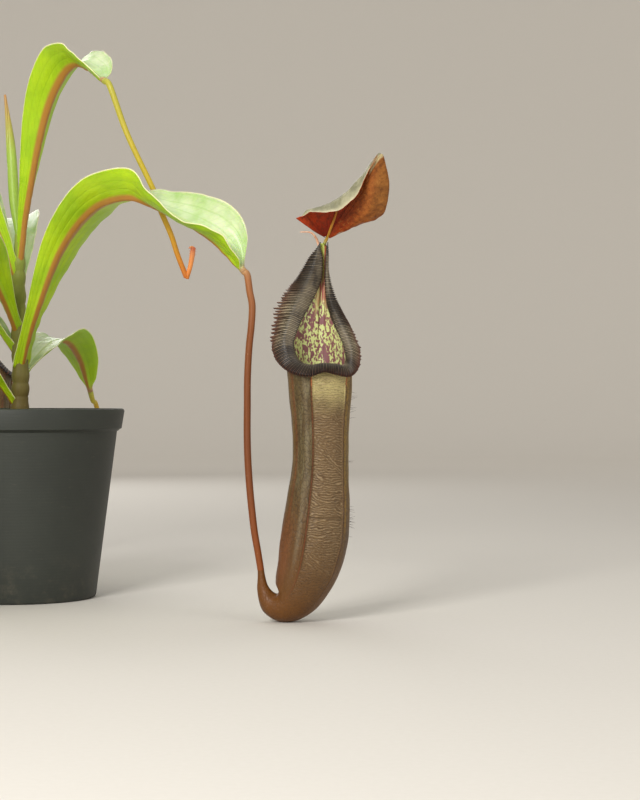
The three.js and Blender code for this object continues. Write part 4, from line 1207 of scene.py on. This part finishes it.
def rooted(root, lean, long):
    """The place of a hair from its root, the way it leans and its length."""
    turned_to = lean.to_track_quat("Z", "Y").to_matrix().to_4x4()
    return Matrix.Translation(root * MM) @ turned_to @ Matrix.Diagonal((1, 1, long, 1))


def bud_hairs(points):
    """Short soft hairs all round a bud, longer and closer together towards its tip."""
    places = []
    for _ in range(70):
        t = chance.uniform(0.1, 1.0) ** 0.35
        ahead = Vector(heading(points, np.array([t]))[0])
        out = Vector([chance.gauss(0, 1) for _ in range(3)])
        out = (out - ahead * out.dot(ahead)).normalized()
        root = Vector(spline(points, t)) + out * (float(values(BUD_RADII, t)) - 0.15)
        lean = out + ahead * chance.uniform(-0.2, 0.7)
        places.append(rooted(root, lean, chance.uniform(0.7, 1.8) * t))
    return scattered("bud_hairs", bristle_of(0.09, 0.02, PINK_HAIR), places)


def cup_hairs(letter, put, size, count, seed):
    """Thin dark bristles: sparse on the wings, and in tufts at three heights on the right."""
    pick = random.Random(seed)
    spots = [(pick.uniform(0.4, 0.98), pick.choice(WINGS) + pick.gauss(0, 1), 1.8) for _ in range(count)]
    for middle, number in ((0.965, 10), (0.6, 16), (0.8, 3)):
        spots += [(pick.gauss(middle, 0.018), pick.gauss(86, 6), 4.2) for _ in range(number)]
    places = []
    for way, angle, longest in spots:
        root = put(cup_ring(np.array([way]), np.array([float(angle)]), 0)[0, 0])
        out = root - put(spline(CUP_AXIS, way))
        out = Vector(out / np.linalg.norm(out))
        lean = out + Vector([pick.uniform(-0.35, 0.35) for _ in range(3)])
        places.append(rooted(Vector(root) - out * 0.2, lean, pick.uniform(0.5, 1) * longest * size))
    settle(scattered("pitcher_" + letter + "_hairs", bristle_of(0.1, 0.03, HAIR), places), "pitcher_cup")


# Young tendrils and their buds

def young_points(tip, aim, drop, out, rise):
    """The end of a young tendril and its bud, from how far they drop, reach out and rise."""
    upward = np.array([0, 0, 1.0])
    end = tip + outward(aim) * out - upward * drop
    bend = tip + (end - tip) * 0.35 + outward(aim) * 2 + upward * 4
    steps = ((0.8, -0.4), (0.2 * rise, 0.3 * rise), (0.3 * rise, 0.7 * rise), (0.26 * rise, rise))
    return [bend, end], [end + outward(aim) * over + upward * high for over, high in steps]


def bud(letter, points):
    """A bud with a small bent beak, which is the start of its lid, and short hairs."""
    points = np.array(points, float)
    body = rod("bud_body", points, BUD_RADII, 40, 20, BUD)
    beak = points[-1] + ((0.4, 0, -0.9), (-0.8, 0, 0.1), (-1.9, 0, 0.3), (-2.7, 0, -0.4))
    horn = rod("bud_beak", beak, [1.3, 1.1, 0.6, 0.25], 16, 12, BUD)
    return joined("bud_" + letter + "_skin", [body, horn, bud_hairs(points)])


for letter in ("b", *YOUNG):
    ending, bud_line = YOUNG_B, BUD_B
    if letter != "b":
        ending, bud_line = young_points(tips[letter][0], LEAVES[letter][0], *YOUNG[letter])
    radii = [2.0, 1.75, 1.7, 1.6]
    grow_tendril(letter, 8, ending, radii, 160, 18, YOUNG_TENDRIL, "young_tendril")
    settle(bud(letter, bud_line), "bud", "bud_" + letter)


# Stem and the newest leaf

def stem_swell(t, turn):
    """Low ridges along the stem, and a swelling over a groove where each leaf clasps it."""
    low, high = STEM_PATH[0][2], STEM_PATH[-1][2]
    height = low + (high - low) * t
    total = 0.12 * np.sin(turn * 3 + height * 0.05) + 0.08 * np.sin(turn * 7 - height * 0.03)
    for foot in LEAF_FEET:
        total = total + 0.7 * bell(height - foot, 3.4)
        total = total - 0.35 * bell(height - foot + 5, 0.7)
    return total


def rolled(t, turn):
    """The newest leaf's margin, a seam that winds up it."""
    winding = (turn - 5.5 * t) % FULL_TURN
    seam = bell(winding - 0.35, 0.16)
    return -0.55 * seam * smooth(t, 0.02, 0.2) + 0.22 * winding / FULL_TURN - 0.11


settle(rod("stem_stalk", STEM_PATH, STEM_RADII, 220, 32, STEM, stem_swell), "stem", "stem")
spear = rod("spear_roll", SPEAR, [1.9, 3.4, 3.0, 0.8], 180, 40, SPEAR_FINISH, rolled)
settle(spear, "young_leaf", "spear")
cup_hairs("a", large_at, size=1, count=60, seed=31)


# Pot and growing medium

def pot_radius(z):
    """The pot's outside below its rim."""
    return BASE_RADIUS + (RIM_RADIUS - RIM_STEP - BASE_RADIUS) * z / POT_HEIGHT


def pot():
    """A plain round pot with a stepped rim and six drain holes."""
    rim_foot = POT_HEIGHT - RIM_HEIGHT
    under_rim = pot_radius(rim_foot)
    mouth = RIM_RADIUS - RIM_STEP - POT_WALL
    profile = [
        (BASE_RADIUS - 12, 0), (BASE_RADIUS - POT_EDGE, 0), (BASE_RADIUS - 0.5, 0.6),
        (pot_radius(POT_EDGE), POT_EDGE), *[(pot_radius(z), z) for z in (30, 60, 90, rim_foot)],
        (under_rim + 0.6, rim_foot + 0.2), (under_rim + RIM_STEP - 0.6, rim_foot + POT_EDGE - 0.2),
        (under_rim + RIM_STEP, rim_foot + POT_EDGE), (RIM_RADIUS, POT_HEIGHT - POT_EDGE),
        (RIM_RADIUS - 0.5, POT_HEIGHT - 0.5), (RIM_RADIUS - POT_EDGE, POT_HEIGHT),
        (mouth + 0.5, POT_HEIGHT), (mouth, POT_HEIGHT - 0.6), (pot_radius(60) - POT_WALL, 60),
        (pot_radius(POT_FLOOR) - POT_WALL, POT_FLOOR),
    ]
    shell = turned("pot_shell", profile, 128)
    shell.data.materials.append(POT_PLASTIC.material)
    for number in range(HOLES):
        angle = FULL_TURN * number / HOLES
        drill = added(bpy.ops.mesh.primitive_cylinder_add, vertices=32, radius=HOLE_RADIUS * MM)
        drill.scale.z = 2 * POT_FLOOR * MM
        drill.location = (HOLE_CIRCLE * math.cos(angle) * MM, HOLE_CIRCLE * math.sin(angle) * MM, 0)
        cut = shell.modifiers.new("hole", "BOOLEAN")
        cut.object = drill
        cut.operation = "DIFFERENCE"
        cut.solver = "EXACT"
        pick(shell)
        bpy.ops.object.modifier_apply(modifier="hole")
        bpy.data.objects.remove(drill)
    bpy.ops.object.shade_smooth_by_angle(angle=math.radians(35))
    return shell


def lumps(x, y):
    rough = 0.5 * np.sin(x * 0.21 + 1.1) * np.cos(y * 0.17) + 0.35 * np.sin(x * 0.43 - y * 0.37)
    return 3.2 * (rough + 0.3 * np.cos(y * 0.51 + x * 0.12))


def bed_height(x, y):
    radius = np.hypot(x, y)
    spots = (6, 14, 26, 42, 59, 63.5)
    above = np.interp(radius, spots, (1.5, 1.5, 1, 0, -0.5, -3))
    return MEDIUM_TOP + above + np.interp(radius, spots, (0, 0.7, 1, 1, 0.8, 0)) * lumps(x, y)


def bed():
    """The fibre that fills the pot, with a hole down its middle for the stem."""
    turn = round_ring(120)
    x, y = np.cos(turn), np.sin(turn)

    def ring(centre, radius, z):
        return np.stack([centre + radius * x, centre + radius * y, 0 * x + z], -1)

    inside = POT_WALL + 0.6
    rings = [ring(0.5, 0, 66), ring(0.5, 6, 66), ring(0.5, 6, 113.4)]
    for radius in np.linspace(6.5, pot_radius(109) - inside, 46):
        points = ring(0, radius, bed_height(radius * x, radius * y))
        points[:, 2] += 0.5 * uneven(points, 4, 21)
        rings.append(points)
    low = POT_FLOOR + 0.3
    rings = np.array([*rings, ring(0, pot_radius(low) - inside, low), ring(0, 0, low)])
    return skin("medium_bed", rings, np.zeros((*rings.shape[:2], 2)), [BED])


def chip(size, seed):
    """One flake of bark, its corners worn."""
    flake = added(bpy.ops.mesh.primitive_cube_add, size=MM)
    edit_all()
    bpy.ops.transform.resize(value=size)
    bpy.ops.mesh.bevel(offset=0.7 * MM, segments=1, affect="EDGES")
    bpy.ops.transform.vertex_random(offset=0.45 * MM, seed=seed)
    end_edit()
    bpy.ops.object.shade_flat()
    flake.data.materials.append(BARK.material)
    return flake


def grain_of_perlite():
    grain = added(bpy.ops.mesh.primitive_ico_sphere_add, subdivisions=1, radius=1.3 * MM)
    edit_all()
    bpy.ops.transform.vertex_random(offset=0.35 * MM, seed=4)
    end_edit()
    grain.data.materials.append(PERLITE.material)
    return grain


def strand_of_moss():
    """A curled strand, drawn out three times from a small triangle."""
    strand = added(bpy.ops.mesh.primitive_circle_add, vertices=3, radius=0.32 * MM, fill_type="NGON")
    edit_all()
    for over, up, narrower in ((0.4, 1.8, 0.9), (1.2, 1.5, 0.8), (1.9, 0.3, 0.4)):
        bpy.ops.mesh.extrude_region_move(TRANSFORM_OT_translate={"value": (over * MM, 0, up * MM)})
        bpy.ops.transform.resize(value=(narrower, narrower, narrower))
    end_edit()
    strand.data.materials.append(MOSS.material)
    return strand


def strewn(name, model, count, radii, sizes, rise, tilt):
    """Copies strewn over the bed between two radii, each with its own turn, tilt and size."""
    places = []
    for _ in range(count):
        radius = math.sqrt(chance.uniform(*[limit ** 2 for limit in radii]))
        angle = chance.uniform(0, FULL_TURN)
        x, y = radius * math.cos(angle), radius * math.sin(angle)
        spot = Vector((x, y, float(bed_height(x, y)) + rise)) * MM
        lean_x, lean_y = [Matrix.Rotation(chance.uniform(-tilt, tilt), 4, axis) for axis in "XY"]
        spin = Matrix.Rotation(chance.uniform(0, FULL_TURN), 4, "Z")
        size = Matrix.Scale(chance.uniform(*sizes), 4)
        places.append(Matrix.Translation(spot) @ spin @ (lean_x @ lean_y) @ size)
    settle(scattered(name, model, places), "growing_medium")


settle(pot(), "pot", "pot")
settle(bed(), "growing_medium", "growing_medium")
for number, size in enumerate(BARK_SIZES):
    strewn(f"bark_{number}", chip(size, number), 95, (11, 57), (0.6, 1.15), rise=0.6, tilt=0.55)
strewn("perlite_grains", grain_of_perlite(), 110, (8, 60), (0.5, 1.2), rise=0.8, tilt=3)
strewn("moss_strands", strand_of_moss(), 700, (8, 60), (0.6, 1.5), rise=0.2, tilt=0.9)
